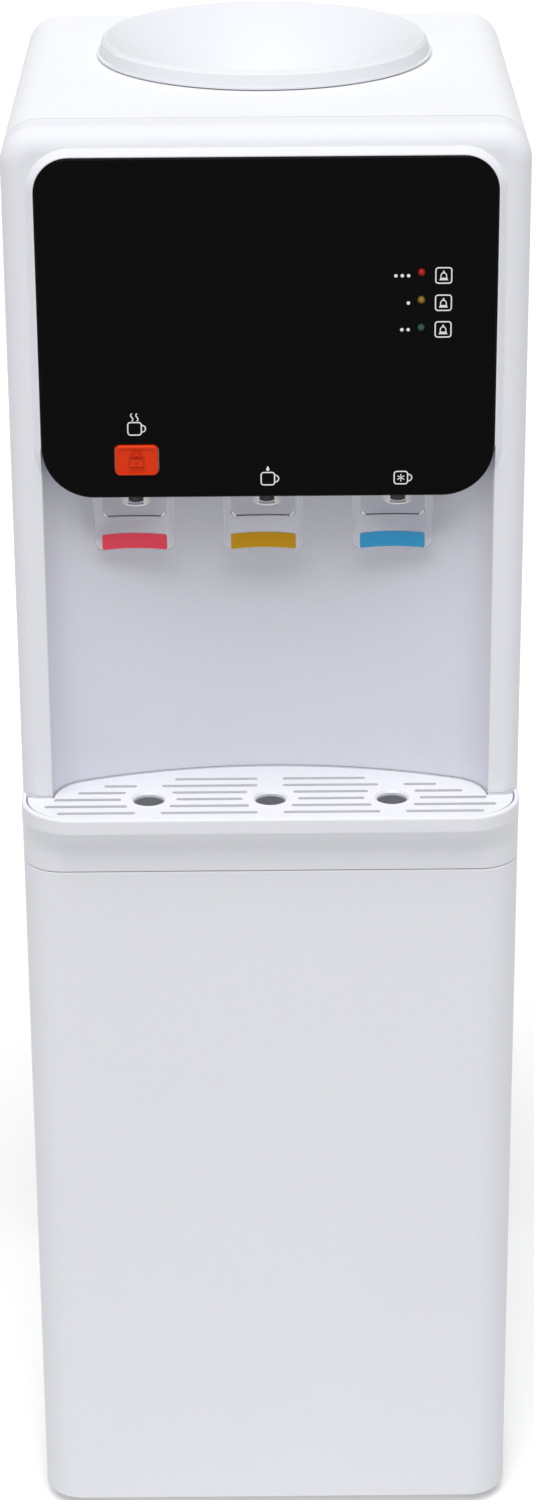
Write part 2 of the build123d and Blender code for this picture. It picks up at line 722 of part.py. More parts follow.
for tap_x, plate_x, tap_name in zip(tap_xs, plate_xs, tap_names):
    with BuildPart() as bar_space:
        with BuildSketch(Plane.XY.offset(bar_z - overrun)):
            add(hollow_plate(plate_x, lever_face_y - overrun, lever_face_y + bar_depth, lever_half))
        extrude(amount=bar_height + 2 * overrun)
        with BuildSketch(plane_at_y(lever_face_y - 2 * overrun)):
            add(bar_outline(plate_x, pin_gap))
        extrude(amount=-4 * overrun, mode=Mode.INTERSECT)

    with BuildPart() as ridge:
        with BuildSketch(Plane.XY.offset(lever_foot_z)):
            add(hollow_plate(plate_x, lever_face_y - ridge_proud, lever_face_y + lever_plate / 2, lever_half))
        extrude(amount=lever_top_z - lever_foot_z)
        with BuildSketch(plane_at_y(lever_face_y - 2 * overrun)):
            with BuildLine():
                Polyline((plate_x - ridge_half, lever_foot_z + ridge_rise + ridge_turn),
                         (plate_x - ridge_half + ridge_turn, lever_foot_z + ridge_rise),
                         (plate_x + ridge_half - ridge_turn, lever_foot_z + ridge_rise),
                         (plate_x + ridge_half, lever_foot_z + ridge_rise + ridge_turn))
            trace(line_width=ridge_height)
        extrude(amount=-4 * overrun, mode=Mode.INTERSECT)

    with BuildPart() as lever:
        with BuildSketch(Plane.XY.offset(lever_foot_z)):
            add(hollow_plate(plate_x, lever_face_y, lever_face_y + lever_plate, lever_half))
        extrude(amount=lever_top_z - lever_foot_z)
        with BuildSketch(plane_at_y(lever_face_y - overrun)) as front_shape:
            with BuildLine():
                ThreePointArc((plate_x - lever_foot_half, lever_foot_z), (plate_x, lever_foot_z + bar_arch),
                              (plate_x + lever_foot_half, lever_foot_z))
                Polyline((plate_x + lever_foot_half, lever_foot_z), (plate_x + lever_half, lever_top_z),
                         (plate_x - lever_half, lever_top_z), (plate_x - lever_foot_half, lever_foot_z))
            make_face()
            fillet(front_shape.vertices().group_by(Axis.Y)[0], radius=lever_corner)
        extrude(amount=-4 * overrun, mode=Mode.INTERSECT)
        with BuildSketch(plane_at_y(lever_face_y - overrun)):
            with BuildLine():
                Polyline((plate_x - ridge_half, lever_top_z + overrun),
                         (plate_x - ridge_half, lever_foot_z + ridge_rise + ridge_turn),
                         (plate_x - ridge_half + ridge_turn, lever_foot_z + ridge_rise),
                         (plate_x + ridge_half - ridge_turn, lever_foot_z + ridge_rise),
                         (plate_x + ridge_half, lever_foot_z + ridge_rise + ridge_turn),
                         (plate_x + ridge_half, lever_top_z + overrun), close=True)
            make_face()
        extrude(amount=-4 * overrun, mode=Mode.SUBTRACT)
        add(ridge.part)
        for side in (-1, 1):
            with BuildSketch(plane_at_x(plate_x + side * cheek_x - cheek_thickness / 2)):
                with BuildLine():
                    Polyline((lever_face_y + lever_plate, lever_foot_z + lever_corner),
                             (lever_face_y + lever_plate / 2, lever_foot_z + lever_corner),
                             (fork_front_y, pivot_z - 2 * boss_radius),
                             (fork_front_y, fork_z + fork_thickness),
                             (lever_face_y + lever_plate, fork_z + fork_thickness), close=True)
                make_face()
            extrude(amount=cheek_thickness)
        with BuildSketch(Plane.XY.offset(fork_z)):
            with Locations((plate_x, (fork_front_y + pivot_y) / 2)):
                Rectangle(2 * cheek_x, pivot_y - fork_front_y)
            with Locations((tap_x, (fork_front_y + fork_rear_y) / 2)):
                Rectangle(2 * fork_half, fork_rear_y - fork_front_y)
            with Locations((tap_x, fork_slot_y + overrun)):
                Rectangle(2 * (rod_radius + slip_gap), 2 * overrun, mode=Mode.SUBTRACT)
        extrude(amount=fork_thickness)
        with BuildSketch(plane_at_x(-half_width)):
            with Locations((pivot_y, pivot_z)):
                Circle(pin_radius + pin_gap / 2)
        extrude(amount=body_width, mode=Mode.SUBTRACT)
        add(bar_space.part, mode=Mode.SUBTRACT)
    write_step(lever, f"lever_{tap_name}")

    with BuildPart() as lever_bar:
        with BuildSketch(Plane.XY.offset(bar_z - overrun)):
            add(hollow_plate(plate_x, lever_face_y - bar_proud, lever_face_y + bar_depth - pin_gap, lever_half))
        extrude(amount=bar_height + 2 * overrun)
        with BuildSketch(plane_at_y(lever_face_y - 2 * overrun)):
            add(bar_outline(plate_x, 0))
        extrude(amount=-4 * overrun, mode=Mode.INTERSECT)
    write_step(lever_bar, f"lever_bar_{tap_name}")

# Top cover: arched shell behind the fascia, with the raised collar for the bottle seat
collar_radius = 96.8
collar_bore = 94.0
rear_fillet = 8.0

with BuildPart() as top_cover:
    with BuildSketch(plane_at_y(shell_front_y)) as arch:
        with Locations((0, roof_z - skirt_height / 2)):
            Rectangle(body_width, skirt_height)
        fillet(arch.vertices().group_by(Axis.Y)[-1], radius=arch_radius)
    extrude(amount=-(back_y - shell_front_y))
    rear_edges = top_cover.faces().sort_by(Axis.Y)[-1].edges().sort_by(Axis.Z)[1:]
    fillet(rear_edges, radius=rear_fillet)
    open_faces = [top_cover.faces().sort_by(Axis.Y)[0], top_cover.faces().sort_by(Axis.Z)[0]]
    offset(amount=-wall, openings=open_faces)
    with BuildSketch(Plane.XY.offset(roof_z - wall / 2)):
        with Locations((0, collar_y)):
            Circle(collar_radius)
    extrude(amount=collar_height + wall / 2)
    with BuildSketch(Plane.XY.offset(roof_z - 2 * wall)):
        with Locations((0, collar_y)):
            Circle(collar_bore)
    extrude(amount=collar_height + 4 * wall, mode=Mode.SUBTRACT)
write_step(top_cover, "top_cover")

# Bottle seat: lift-out dish whose skirt drops over the collar, with a locating spigot
# inside it and the neck tube below
seat_lip_radius = 96.9
seat_lip_land = 1.0
seat_shoulder_radius = 98.6
seat_shoulder_drop = 2.2
seat_foot_radius = 100.2
seat_bead_reach = 1.2
seat_bead_height = 1.2
seat_bead_gap = 0.8
seat_step = 0.8
seat_step_angle = 64.0
seat_dish_radius = 70.0
seat_dish_drop = 19.5
seat_cone_depth = 58.0
seat_neck_bore = 32.0
seat_neck_length = 37.0
seat_wall = 2.5
spigot_depth = 10.0
seat_floor_thickness = 2.5
collar_top_z = roof_z + collar_height
skirt_bore = collar_radius + slip_gap
skirt_foot_z = roof_z + seat_bead_gap
bead_top_z = skirt_foot_z + seat_bead_height
bead_radius = seat_foot_radius + seat_bead_reach
shoulder_z = rim_z - seat_shoulder_drop
dish_mouth = seat_lip_radius - seat_lip_land
seat_spigot = collar_bore - slip_gap
cone_foot_z = rim_z - seat_cone_depth
neck_foot_z = cone_foot_z - seat_neck_length
neck_radius = seat_neck_bore + seat_wall
probe_bore = 11.0

with BuildPart() as bottle_seat:
    with BuildSketch(plane_at_y(collar_y)):
        with BuildLine():
            ThreePointArc((dish_mouth, rim_z), (seat_dish_radius, rim_z - seat_dish_drop),
                          (seat_neck_bore, cone_foot_z))
            Polyline((seat_neck_bore, cone_foot_z), (seat_neck_bore, neck_foot_z), (probe_bore, neck_foot_z),
                     (probe_bore, neck_foot_z - seat_floor_thickness),
                     (neck_radius, neck_foot_z - seat_floor_thickness), (neck_radius, cone_foot_z - seat_wall))
            ThreePointArc((neck_radius, cone_foot_z - seat_wall),
                          (seat_dish_radius, rim_z - seat_dish_drop - sqrt(2) * seat_wall),
                          (seat_spigot - seat_wall, collar_top_z - seat_wall))
            Polyline((seat_spigot - seat_wall, collar_top_z - seat_wall),
                     (seat_spigot - seat_wall, collar_top_z - spigot_depth),
                     (seat_spigot, collar_top_z - spigot_depth), (seat_spigot, collar_top_z),
                     (skirt_bore, collar_top_z), (skirt_bore, skirt_foot_z), (bead_radius, skirt_foot_z),
                     (bead_radius, bead_top_z), (seat_foot_radius, bead_top_z + slip_gap),
                     (seat_shoulder_radius, shoulder_z), (seat_lip_radius, rim_z), (dish_mouth, rim_z))
        make_face()
    revolve(axis=Axis((0, collar_y, 0), (0, 0, 1)))
    for facing in (-90, 90):
        start = radians(facing - seat_step_angle)
        sector_plane = Plane(origin=(0, collar_y, 0), x_dir=(cos(start), sin(start), 0),
                             z_dir=(sin(start), -cos(start), 0))
        with BuildSketch(sector_plane):
            with BuildLine():
                Polyline((skirt_bore + slip_gap, bead_top_z), (seat_foot_radius + seat_step, bead_top_z),
                         (seat_shoulder_radius + seat_step, shoulder_z), (seat_lip_radius, rim_z - slip_gap),
                         (skirt_bore + slip_gap, shoulder_z), close=True)
            make_face()
        revolve(axis=Axis((0, collar_y, 0), (0, 0, 1)), revolution_arc=2 * seat_step_angle)
write_step(bottle_seat, "bottle_seat")

# Bottle probe: hollow spike that opens the bottle's cap, screwed into the seat's floor
probe_radius = 10.4
probe_top_height = 52.0
probe_wall = 2.0
probe_flange = 17.0
probe_hole = 3.2

with BuildPart() as bottle_probe:
    add(spun([(probe_radius - probe_wall, neck_foot_z - 4 * probe_wall),
              (probe_radius, neck_foot_z - 4 * probe_wall), (probe_radius, neck_foot_z + face_gap),
              (probe_flange, neck_foot_z + face_gap), (probe_flange, neck_foot_z + probe_wall),
              (probe_radius, neck_foot_z + probe_wall), (probe_radius, neck_foot_z + probe_top_height),
              (probe_wall, neck_foot_z + probe_top_height + probe_radius),
              (0, neck_foot_z + probe_top_height + probe_radius),
              (0, neck_foot_z + probe_top_height + probe_radius - 2 * probe_wall),
              (probe_radius - probe_wall, neck_foot_z + probe_top_height - probe_wall)], collar_y))
    revolve(axis=Axis((0, collar_y, 0), (0, 0, 1)))
    with BuildSketch(plane_at_y(collar_y - 2 * probe_radius)):
        with Locations((0, neck_foot_z + probe_top_height - 3 * probe_wall)):
            Circle(probe_hole)
        with Locations((0, neck_foot_z + 3 * probe_wall)):
            Circle(probe_hole)
    extrude(amount=-4 * probe_radius, mode=Mode.SUBTRACT)
write_step(bottle_probe, "bottle_probe")

# Cold tank with its lid, evaporator, foam jacket and shelf
lid_thickness = 2.0
lid_drop = 92.0
cold_radius = 78.0
cold_wall = 1.0
cold_length = 160.0
coil_thickness = 6.5
coil_length = 90.0
jacket_radius = 100.0
jacket_floor = 16.0
jacket_gap = 0.5
gasket_height = 5.0
gasket_width = 5.0
stub_radius = 5.0
stub_bore = 3.5
stub_length = 22.0
lid_top_z = rim_z - lid_drop
cold_top_z = lid_top_z - lid_thickness
cold_bottom_z = cold_top_z - cold_length
jacket_bottom_z = cold_bottom_z - jacket_floor
stub_spread = 30.0
stub_reach = 50.0
cold_stubs = [(-stub_spread, collar_y - stub_reach), (stub_spread, collar_y - stub_reach),
              (0, collar_y + stub_reach)]

with BuildPart() as neck_gasket:
    with BuildSketch(Plane.XY.offset(lid_top_z)):
        with Locations((0, collar_y)):
            Circle(neck_radius + slip_gap + gasket_width)
            Circle(neck_radius + slip_gap, mode=Mode.SUBTRACT)
    extrude(amount=gasket_height)
    fillet(neck_gasket.faces().sort_by(Axis.Z)[-1].edges(), radius=sheet)
write_step(neck_gasket, "neck_gasket")

with BuildPart() as cold_tank_lid:
    with BuildSketch(Plane.XY.offset(cold_top_z)):
        with Locations((0, collar_y)):
            Circle(cold_radius + 2 * cold_wall)
            Circle(neck_radius + 2 * slip_gap, mode=Mode.SUBTRACT)
    extrude(amount=lid_thickness)
write_step(cold_tank_lid, "cold_tank_lid")

with BuildPart() as cold_tank:
    with BuildSketch(Plane.XY.offset(cold_bottom_z)):
        with Locations((0, collar_y)):
            Circle(cold_radius)
    extrude(amount=cold_length)
    with BuildSketch(Plane.XY.offset(cold_bottom_z - stub_length)):
        with Locations(cold_stubs):
            Circle(stub_radius)
    extrude(amount=stub_length)
    with BuildSketch(Plane.XY.offset(cold_bottom_z + cold_wall)):
        with Locations((0, collar_y)):
            Circle(cold_radius - cold_wall)
    extrude(amount=cold_length, mode=Mode.SUBTRACT)
    with BuildSketch(Plane.XY.offset(cold_bottom_z - stub_length - overrun)):
        with Locations(cold_stubs):
            Circle(stub_bore)
    extrude(amount=stub_length + 2 * overrun, mode=Mode.SUBTRACT)
write_step(cold_tank, "cold_tank")

with BuildPart() as evaporator_coil:
    with BuildSketch(Plane.XY.offset(cold_bottom_z + (cold_length - coil_length) / 2)):
        with Locations((0, collar_y)):
            Circle(cold_radius + face_gap + coil_thickness)
            Circle(cold_radius + face_gap, mode=Mode.SUBTRACT)
    extrude(amount=coil_length)
write_step(evaporator_coil, "evaporator_coil")

with BuildPart() as cold_tank_jacket:
    with BuildSketch(Plane.XY.offset(jacket_bottom_z)):
        with Locations((0, collar_y)):
            Circle(jacket_radius)
    extrude(amount=cold_top_z - jacket_bottom_z)
    with BuildSketch(Plane.XY.offset(cold_bottom_z)):
        with Locations((0, collar_y)):
            Circle(cold_radius + coil_thickness + jacket_gap)
    extrude(amount=2 * cold_length, mode=Mode.SUBTRACT)
    with BuildSketch(Plane.XY.offset(jacket_bottom_z - overrun)):
        with Locations(cold_stubs):
            Circle(stub_radius + jacket_gap)
    extrude(amount=jacket_floor + 2 * overrun, mode=Mode.SUBTRACT)
write_step(cold_tank_jacket, "cold_tank_jacket")

# Hot tank with its heater band, foam jacket and shelf
hot_radius = 48.0
hot_length = 112.0
hot_x = tap_xs[0]
hot_y = 20.0
hot_feed_pitch = 25.0
hot_feed_y = hot_y + hot_feed_pitch
band_thickness = 2.4
band_height = 30.0
hot_jacket_radius = 63.0
hot_jacket_floor = 12.0
hot_shelf_height = 446.0
shelf_thickness = 1.2
shelf_lip = 12.0
hot_shelf_z = bottom_z + hot_shelf_height
hot_jacket_z = hot_shelf_z + shelf_thickness
hot_tank_z = hot_jacket_z + hot_jacket_floor
hot_top_z = hot_tank_z + hot_length

with BuildPart() as hot_tank:
    with BuildSketch(Plane.XY.offset(hot_tank_z)):
        with Locations((hot_x, hot_y)):
            Circle(hot_radius)
    extrude(amount=hot_length)
    fillet(hot_tank.faces().sort_by(Axis.Z)[-1].edges(), radius=4 * cold_wall)
    offset(amount=-cold_wall, openings=hot_tank.faces().sort_by(Axis.Z)[0])
    with BuildSketch(Plane.XY.offset(hot_tank_z)):
        with Locations((hot_x, hot_y)):
            Circle(hot_radius)
    extrude(amount=cold_wall)
    with BuildSketch(Plane.XY.offset(hot_top_z - cold_wall)):
        with Locations((hot_x, hot_y), (hot_x, hot_feed_y)):
            Circle(stub_radius)
    extrude(amount=stub_length)
    with BuildSketch(Plane.XY.offset(hot_tank_z - stub_length)):
        with Locations((hot_x, hot_y)):
            Circle(stub_radius)
    extrude(amount=stub_length)
    with BuildSketch(Plane.XY.offset(hot_top_z - 2 * overrun)):
        with Locations((hot_x, hot_y), (hot_x, hot_feed_y)):
            Circle(stub_bore)
    extrude(amount=2 * stub_length, mode=Mode.SUBTRACT)
    with BuildSketch(Plane.XY.offset(hot_tank_z - 2 * stub_length)):
        with Locations((hot_x, hot_y)):
            Circle(stub_bore)
    extrude(amount=2 * stub_length + overrun, mode=Mode.SUBTRACT)
write_step(hot_tank, "hot_tank")

with BuildPart() as heater_band:
    with BuildSketch(Plane.XY.offset(hot_tank_z + band_height / 2)):
        with Locations((hot_x, hot_y)):
            Circle(hot_radius + face_gap + band_thickness)
            Circle(hot_radius + face_gap, mode=Mode.SUBTRACT)
    extrude(amount=band_height)
write_step(heater_band, "heater_band")

with BuildPart() as hot_tank_jacket:
    with BuildSketch(Plane.XY.offset(hot_jacket_z)):
        with Locations((hot_x, hot_y)):
            Circle(hot_jacket_radius)
    extrude(amount=hot_jacket_floor + hot_length)
    with BuildSketch(Plane.XY.offset(hot_tank_z)):
        with Locations((hot_x, hot_y)):
            Circle(hot_radius + band_thickness + jacket_gap)
    extrude(amount=2 * hot_length, mode=Mode.SUBTRACT)
    with BuildSketch(Plane.XY.offset(hot_jacket_z - overrun)):
        with Locations((hot_x, hot_y)):
            Circle(stub_radius + jacket_gap)
    extrude(amount=2 * hot_jacket_floor, mode=Mode.SUBTRACT)
write_step(hot_tank_jacket, "hot_tank_jacket")

# Shelves: bent sheets between the side panels that carry the two tanks
shelf_front_y = bay_back_y + 16 * wall
shelf_rear_y = back_y - 5 * wall
hem_depth = 10.0
suction_side_x = 121.0
dryer_x = -124.0
dryer_y = 120.0
pipe_passages = [(suction_side_x, collar_y), (dryer_x, dryer_y)]
flange_y = back_y - hem_depth

for label, shelf_z, passages in (
        ("cold_tank_shelf", jacket_bottom_z - shelf_thickness, cold_stubs + pipe_passages),
        ("hot_tank_shelf", hot_shelf_z, [(hot_x, hot_y)] + pipe_passages)):
    with BuildPart() as shelf:
        shelf_depth = flange_y - shelf_front_y
        with BuildSketch(Plane.XY.offset(shelf_z)):
            with Locations((0, (shelf_front_y + flange_y) / 2)):
                Rectangle(2 * inner_half - 2 * face_gap, shelf_depth - 2 * face_gap)
        extrude(amount=shelf_thickness)
        with BuildSketch(Plane.XY.offset(shelf_z)):
            with Locations((0, shelf_front_y + face_gap + shelf_thickness / 2)):
                Rectangle(2 * inner_half - 2 * face_gap, shelf_thickness)
            for side in (-1, 1):
                with Locations((side * (inner_half - face_gap - shelf_thickness / 2),
                                (shelf_front_y + flange_y) / 2)):
                    Rectangle(shelf_thickness, shelf_depth - 2 * face_gap)
        extrude(amount=-shelf_lip)
        with BuildSketch(Plane.XY.offset(shelf_z - overrun)):
            with Locations(passages):
                Circle(stub_radius + 4 * jacket_gap)
        extrude(amount=3 * overrun, mode=Mode.SUBTRACT)
    write_step(shelf, label)

# Side panels: painted sheet with a front return, a rear flange and a hemmed rear edge
side_top_z = skirt_z - seam_gap / 2
return_width = 9.0
flange_width = 15.0

for side, label in ((-1, "left_side_panel"), (1, "right_side_panel")):
    with BuildPart() as side_panel:
        with BuildSketch(Plane.XY.offset(bottom_z)):
            with Locations((side * (half_width - sheet / 2), (shell_front_y + back_y) / 2)):
                Rectangle(sheet, back_y - shell_front_y)
            with Locations((side * (half_width - return_width / 2), shell_front_y + sheet / 2)):
                Rectangle(return_width, sheet)
            with Locations((side * (half_width - flange_width / 2), flange_y + sheet / 2)):
                Rectangle(flange_width, sheet)
            with Locations((side * (half_width - sheet), (flange_y + back_y) / 2)):
                Rectangle(2 * sheet, hem_depth)
        extrude(amount=side_top_z - bottom_z)
    write_step(side_panel, label)

# Back panel: sheet behind the upper half, with louvre slots and cut-outs
back_sheet = 1.0
back_foot_height = 397.0
back_head_height = skirt_height - 8.0
switch_height = 842.0
switch_spacing = 56.0
switch_cut_width = 13.0
switch_cut_height = 19.0
drain_height = 417.0
drain_x = hot_x
gland_x = -hot_x
port_radius = 9.0
louvre_width = 62.0
louvre_height = 4.0
louvre_pitch = 13.0
louvre_rows = 7
louvre_spacing = 96.0
louvre_height_middle = 700.0
screw_shank = 1.8
screw_head = 4.0
screw_head_height = 2.0
screw_rows = 4
back_panel_y = flange_y + sheet
back_foot_z = bottom_z + back_foot_height
back_head_z = roof_z - back_head_height
switch_z = bottom_z + switch_height
drain_z = bottom_z + drain_height
screw_x = half_width - flange_width / 2 - sheet
screw_pitch = (back_head_z - back_foot_z - 6 * screw_head) / (screw_rows - 1)
screw_middle_z = (back_foot_z + back_head_z) / 2 - 2 * screw_head

with BuildPart() as back_panel:
    with BuildSketch(plane_at_y(back_panel_y)):
        with Locations((0, (back_foot_z + back_head_z) / 2)):
            Rectangle(2 * (half_width - wall - slip_gap), back_head_z - back_foot_z)
        with Locations((0, bottom_z + louvre_height_middle)):
            with GridLocations(louvre_spacing, louvre_pitch, 2, louvre_rows):
                SlotOverall(louvre_width, louvre_height, mode=Mode.SUBTRACT)
        with Locations((0, switch_z)):
            with GridLocations(switch_spacing, switch_spacing, 2, 1):
                Rectangle(switch_cut_width + slip_gap, switch_cut_height + slip_gap, mode=Mode.SUBTRACT)
        with Locations((drain_x, drain_z), (gland_x, drain_z)):
            Circle(port_radius + face_gap, mode=Mode.SUBTRACT)
        with Locations((0, screw_middle_z)):
            with GridLocations(2 * screw_x, screw_pitch, 2, screw_rows):
                Circle(screw_shank + face_gap, mode=Mode.SUBTRACT)
    extrude(amount=-back_sheet)
write_step(back_panel, "back_panel")

with BuildPart() as back_panel_screws:
    with BuildSketch(plane_at_y(back_panel_y + back_sheet)):
        with Locations((0, screw_middle_z)):
            with GridLocations(2 * screw_x, screw_pitch, 2, screw_rows):
                Circle(screw_head)
    extrude(amount=-screw_head_height)
    fillet(back_panel_screws.faces().group_by(Axis.Y)[-1].edges(), radius=sheet)
    with BuildSketch(plane_at_y(back_panel_y + back_sheet)):
        with Locations((0, screw_middle_z)):
            with GridLocations(2 * screw_x, screw_pitch, 2, screw_rows):
                Circle(screw_shank)
    extrude(amount=back_sheet)
write_step(back_panel_screws, "back_panel_screws")

# Rocker switches: black housings snapped into the back panel, coloured rockers in them
bezel_width = 15.0
bezel_height = 21.0
bezel_thickness = 2.0
housing_depth = 14.0
rocker_width = 9.6
rocker_radius = 7.6
rocker_out = 4.1
rocker_in = 1.9
rocker_tilt = 9.0
rocker_gap = 0.3
rocker_root = 2.5
rocker_y = back_panel_y + back_sheet

with BuildPart() as switch_housings:
    with BuildSketch(plane_at_y(back_panel_y + back_sheet)):
        with Locations((0, switch_z)):
            with GridLocations(switch_spacing, switch_spacing, 2, 1):
                RectangleRounded(bezel_width, bezel_height, sheet)
    extrude(amount=-bezel_thickness)
    with BuildSketch(plane_at_y(back_panel_y + back_sheet)):
        with Locations((0, switch_z)):
            with GridLocations(switch_spacing, switch_spacing, 2, 1):
                Rectangle(switch_cut_width, switch_cut_height)
    extrude(amount=housing_depth)
    with BuildSketch(plane_at_y(rocker_y + overrun)):
        with Locations((0, switch_z)):
            with GridLocations(switch_spacing, switch_spacing, 2, 1):
                Rectangle(rocker_width + 2 * rocker_gap, 2 * (rocker_radius + rocker_gap))
    extrude(amount=overrun + rocker_radius + rocker_gap, mode=Mode.SUBTRACT)
write_step(switch_housings, "switch_housings")

for side, label in ((-1, "rocker_hot"), (1, "rocker_cold")):
    with BuildPart() as rocker:
        with BuildSketch(plane_at_x(side * switch_spacing / 2 - rocker_width / 2)):
            with BuildLine():
                CenterArc((rocker_y, switch_z), rocker_radius, 90 + 2 * rocker_tilt, 180 - 4 * rocker_tilt)
                Polyline((rocker_y - rocker_radius * sin(radians(2 * rocker_tilt)),
                          switch_z - rocker_radius * cos(radians(2 * rocker_tilt))),
                         (rocker_y + rocker_out, switch_z - rocker_radius + sheet),
                         (rocker_y + rocker_root, switch_z),
                         (rocker_y + rocker_in, switch_z + rocker_radius - sheet),
                         (rocker_y - rocker_radius * sin(radians(2 * rocker_tilt)),
                          switch_z + rocker_radius * cos(radians(2 * rocker_tilt))))
            make_face()
        extrude(amount=rocker_width)
    write_step(rocker, label)

# Drain outlet of the hot tank and its screw cap, gland of the mains lead
drain_tube = 7.0
drain_bore = 4.5
drain_inside = 14.0
drain_outside = 5.5
drain_flange = 12.0
drain_flange_thickness = 1.2
cap_radius = 9.5
cap_depth = 5.6
cap_end = 1.4
gland_flange = 11.5
gland_bore = 3.8
outer_sheet_y = back_panel_y + back_sheet

with BuildPart() as drain_outlet:
    with BuildSketch(plane_at_y(outer_sheet_y)):
        with Locations((drain_x, drain_z)):
            Circle(drain_flange)
    extrude(amount=-drain_flange_thickness)
    with BuildSketch(plane_at_y(outer_sheet_y - drain_inside)):
        with Locations((drain_x, drain_z)):
            Circle(drain_tube)
    extrude(amount=-(drain_inside + drain_outside))
    with BuildSketch(plane_at_y(outer_sheet_y - 2 * drain_inside)):
        with Locations((drain_x, drain_z)):
            Circle(drain_bore)
    extrude(amount=-4 * drain_inside, mode=Mode.SUBTRACT)
write_step(drain_outlet, "drain_outlet")

with BuildPart() as drain_cap:
    cap_y = outer_sheet_y + drain_flange_thickness + face_gap
    with BuildSketch(plane_at_y(cap_y)):
        with Locations((drain_x, drain_z)):
            Circle(cap_radius)
    extrude(amount=-cap_depth)
    fillet(drain_cap.faces().sort_by(Axis.Y)[-1].edges(), radius=sheet)
    with BuildSketch(plane_at_y(cap_y - overrun)):
        with Locations((drain_x, drain_z)):
            Circle(drain_tube + rocker_gap)
    extrude(amount=-(overrun + cap_depth - cap_end), mode=Mode.SUBTRACT)
    with BuildSketch(plane_at_y(cap_y)):
        with Locations((drain_x, drain_z)):
            with PolarLocations(cap_radius, 12):
                Circle(sheet / 2)
    extrude(amount=-(cap_depth + overrun), mode=Mode.SUBTRACT)
write_step(drain_cap, "drain_cap")

with BuildPart() as cord_gland:
    with BuildSketch(plane_at_y(outer_sheet_y)):
        with Locations((gland_x, drain_z)):
            Circle(gland_flange)
    extrude(amount=-2 * drain_flange_thickness)
    fillet(cord_gland.faces().sort_by(Axis.Y)[-1].edges(), radius=sheet)
    with BuildSketch(plane_at_y(outer_sheet_y)):
        with Locations((gland_x, drain_z)):
            Circle(port_radius)
    extrude(amount=drain_inside / 2)
    with BuildSketch(plane_at_y(outer_sheet_y - drain_inside)):
        with Locations((gland_x, drain_z)):
            Circle(gland_bore)
    extrude(amount=-3 * drain_inside, mode=Mode.SUBTRACT)
write_step(cord_gland, "cord_gland")

# Base pan on four feet, and the compressor on its mounts
pan_rim = 22.0
pan_sheet = 1.2
foot_radius = 16.0
foot_inset_x = 26.0
foot_inset_y = 38.0
stud_radius = 3.0
stud_length = 12.0
compressor_x = 12.0
compressor_y = collar_y
mount_spacing = 102.0
mount_radius = 10.0
mount_height = 12.0
mount_bolt = 3.0
plate_thickness = 2.5
compressor_radius = 60.0
compressor_height = 150.0
compressor_crown = 26.0
compressor_skirt = 14.0
compressor_belt = 3.0
pump_radius = 30.0
pan_front_y = lower_y + wall + slip_gap
pan_rear_y = flange_y - face_gap
pan_half = half_width - return_width - slip_gap
foot_places = [(side * (half_width - foot_inset_x), place)
               for side in (-1, 1) for place in (lower_y + foot_inset_y, back_y - foot_inset_y)]
mount_places = [(compressor_x + sx * mount_spacing / 2, compressor_y + sy * mount_spacing / 2)
                for sx in (-1, 1) for sy in (-1, 1)]
mount_z = bottom_z + pan_sheet
plate_z = mount_z + mount_height
shell_z = plate_z + plate_thickness

with BuildPart() as base_pan:
    with BuildSketch(Plane.XY.offset(bottom_z)):
        add(front_outline(pan_half, pan_front_y, pan_rear_y, lower_corner - wall - slip_gap))
    extrude(amount=pan_rim)
    with BuildSketch(Plane.XY.offset(bottom_z + pan_sheet)):
        add(front_outline(pan_half - pan_sheet, pan_front_y + pan_sheet, pan_rear_y - pan_sheet,
                          lower_corner - wall - slip_gap - pan_sheet))
    extrude(amount=pan_rim, mode=Mode.SUBTRACT)
    with BuildSketch(Plane.XY.offset(bottom_z - overrun)):
        with Locations(foot_places):
            Circle(stud_radius + slip_gap)
        with Locations(mount_places):
            Circle(mount_bolt + slip_gap)
    extrude(amount=2 * overrun, mode=Mode.SUBTRACT)
    with BuildSketch(Plane.XY.offset(bottom_z + pan_rim - 2 * pan_sheet)):
        for side in (-1, 1):
            with Locations((side * (pan_half + inner_half - face_gap) / 2, 0)):
                Rectangle(inner_half - face_gap - pan_half, body_depth / 2)
    extrude(amount=2 * pan_sheet)
write_step(base_pan, "base_pan")

with BuildPart() as feet:
    with BuildSketch(Plane.XY):
        with Locations(foot_places):
            Circle(foot_radius)
    extrude(amount=foot_height)
    fillet(feet.faces().group_by(Axis.Z)[0].edges(), radius=1.5 * sheet)
    with BuildSketch(Plane.XY.offset(foot_height)):
        with Locations(foot_places):
            Circle(stud_radius)
    extrude(amount=stud_length)
write_step(feet, "feet")

with BuildPart() as compressor_mounts:
    with BuildSketch(Plane.XY.offset(mount_z)):
        with Locations(mount_places):
            Circle(mount_radius)
            Circle(mount_bolt + face_gap, mode=Mode.SUBTRACT)
    extrude(amount=mount_height)
write_step(compressor_mounts, "compressor_mounts")

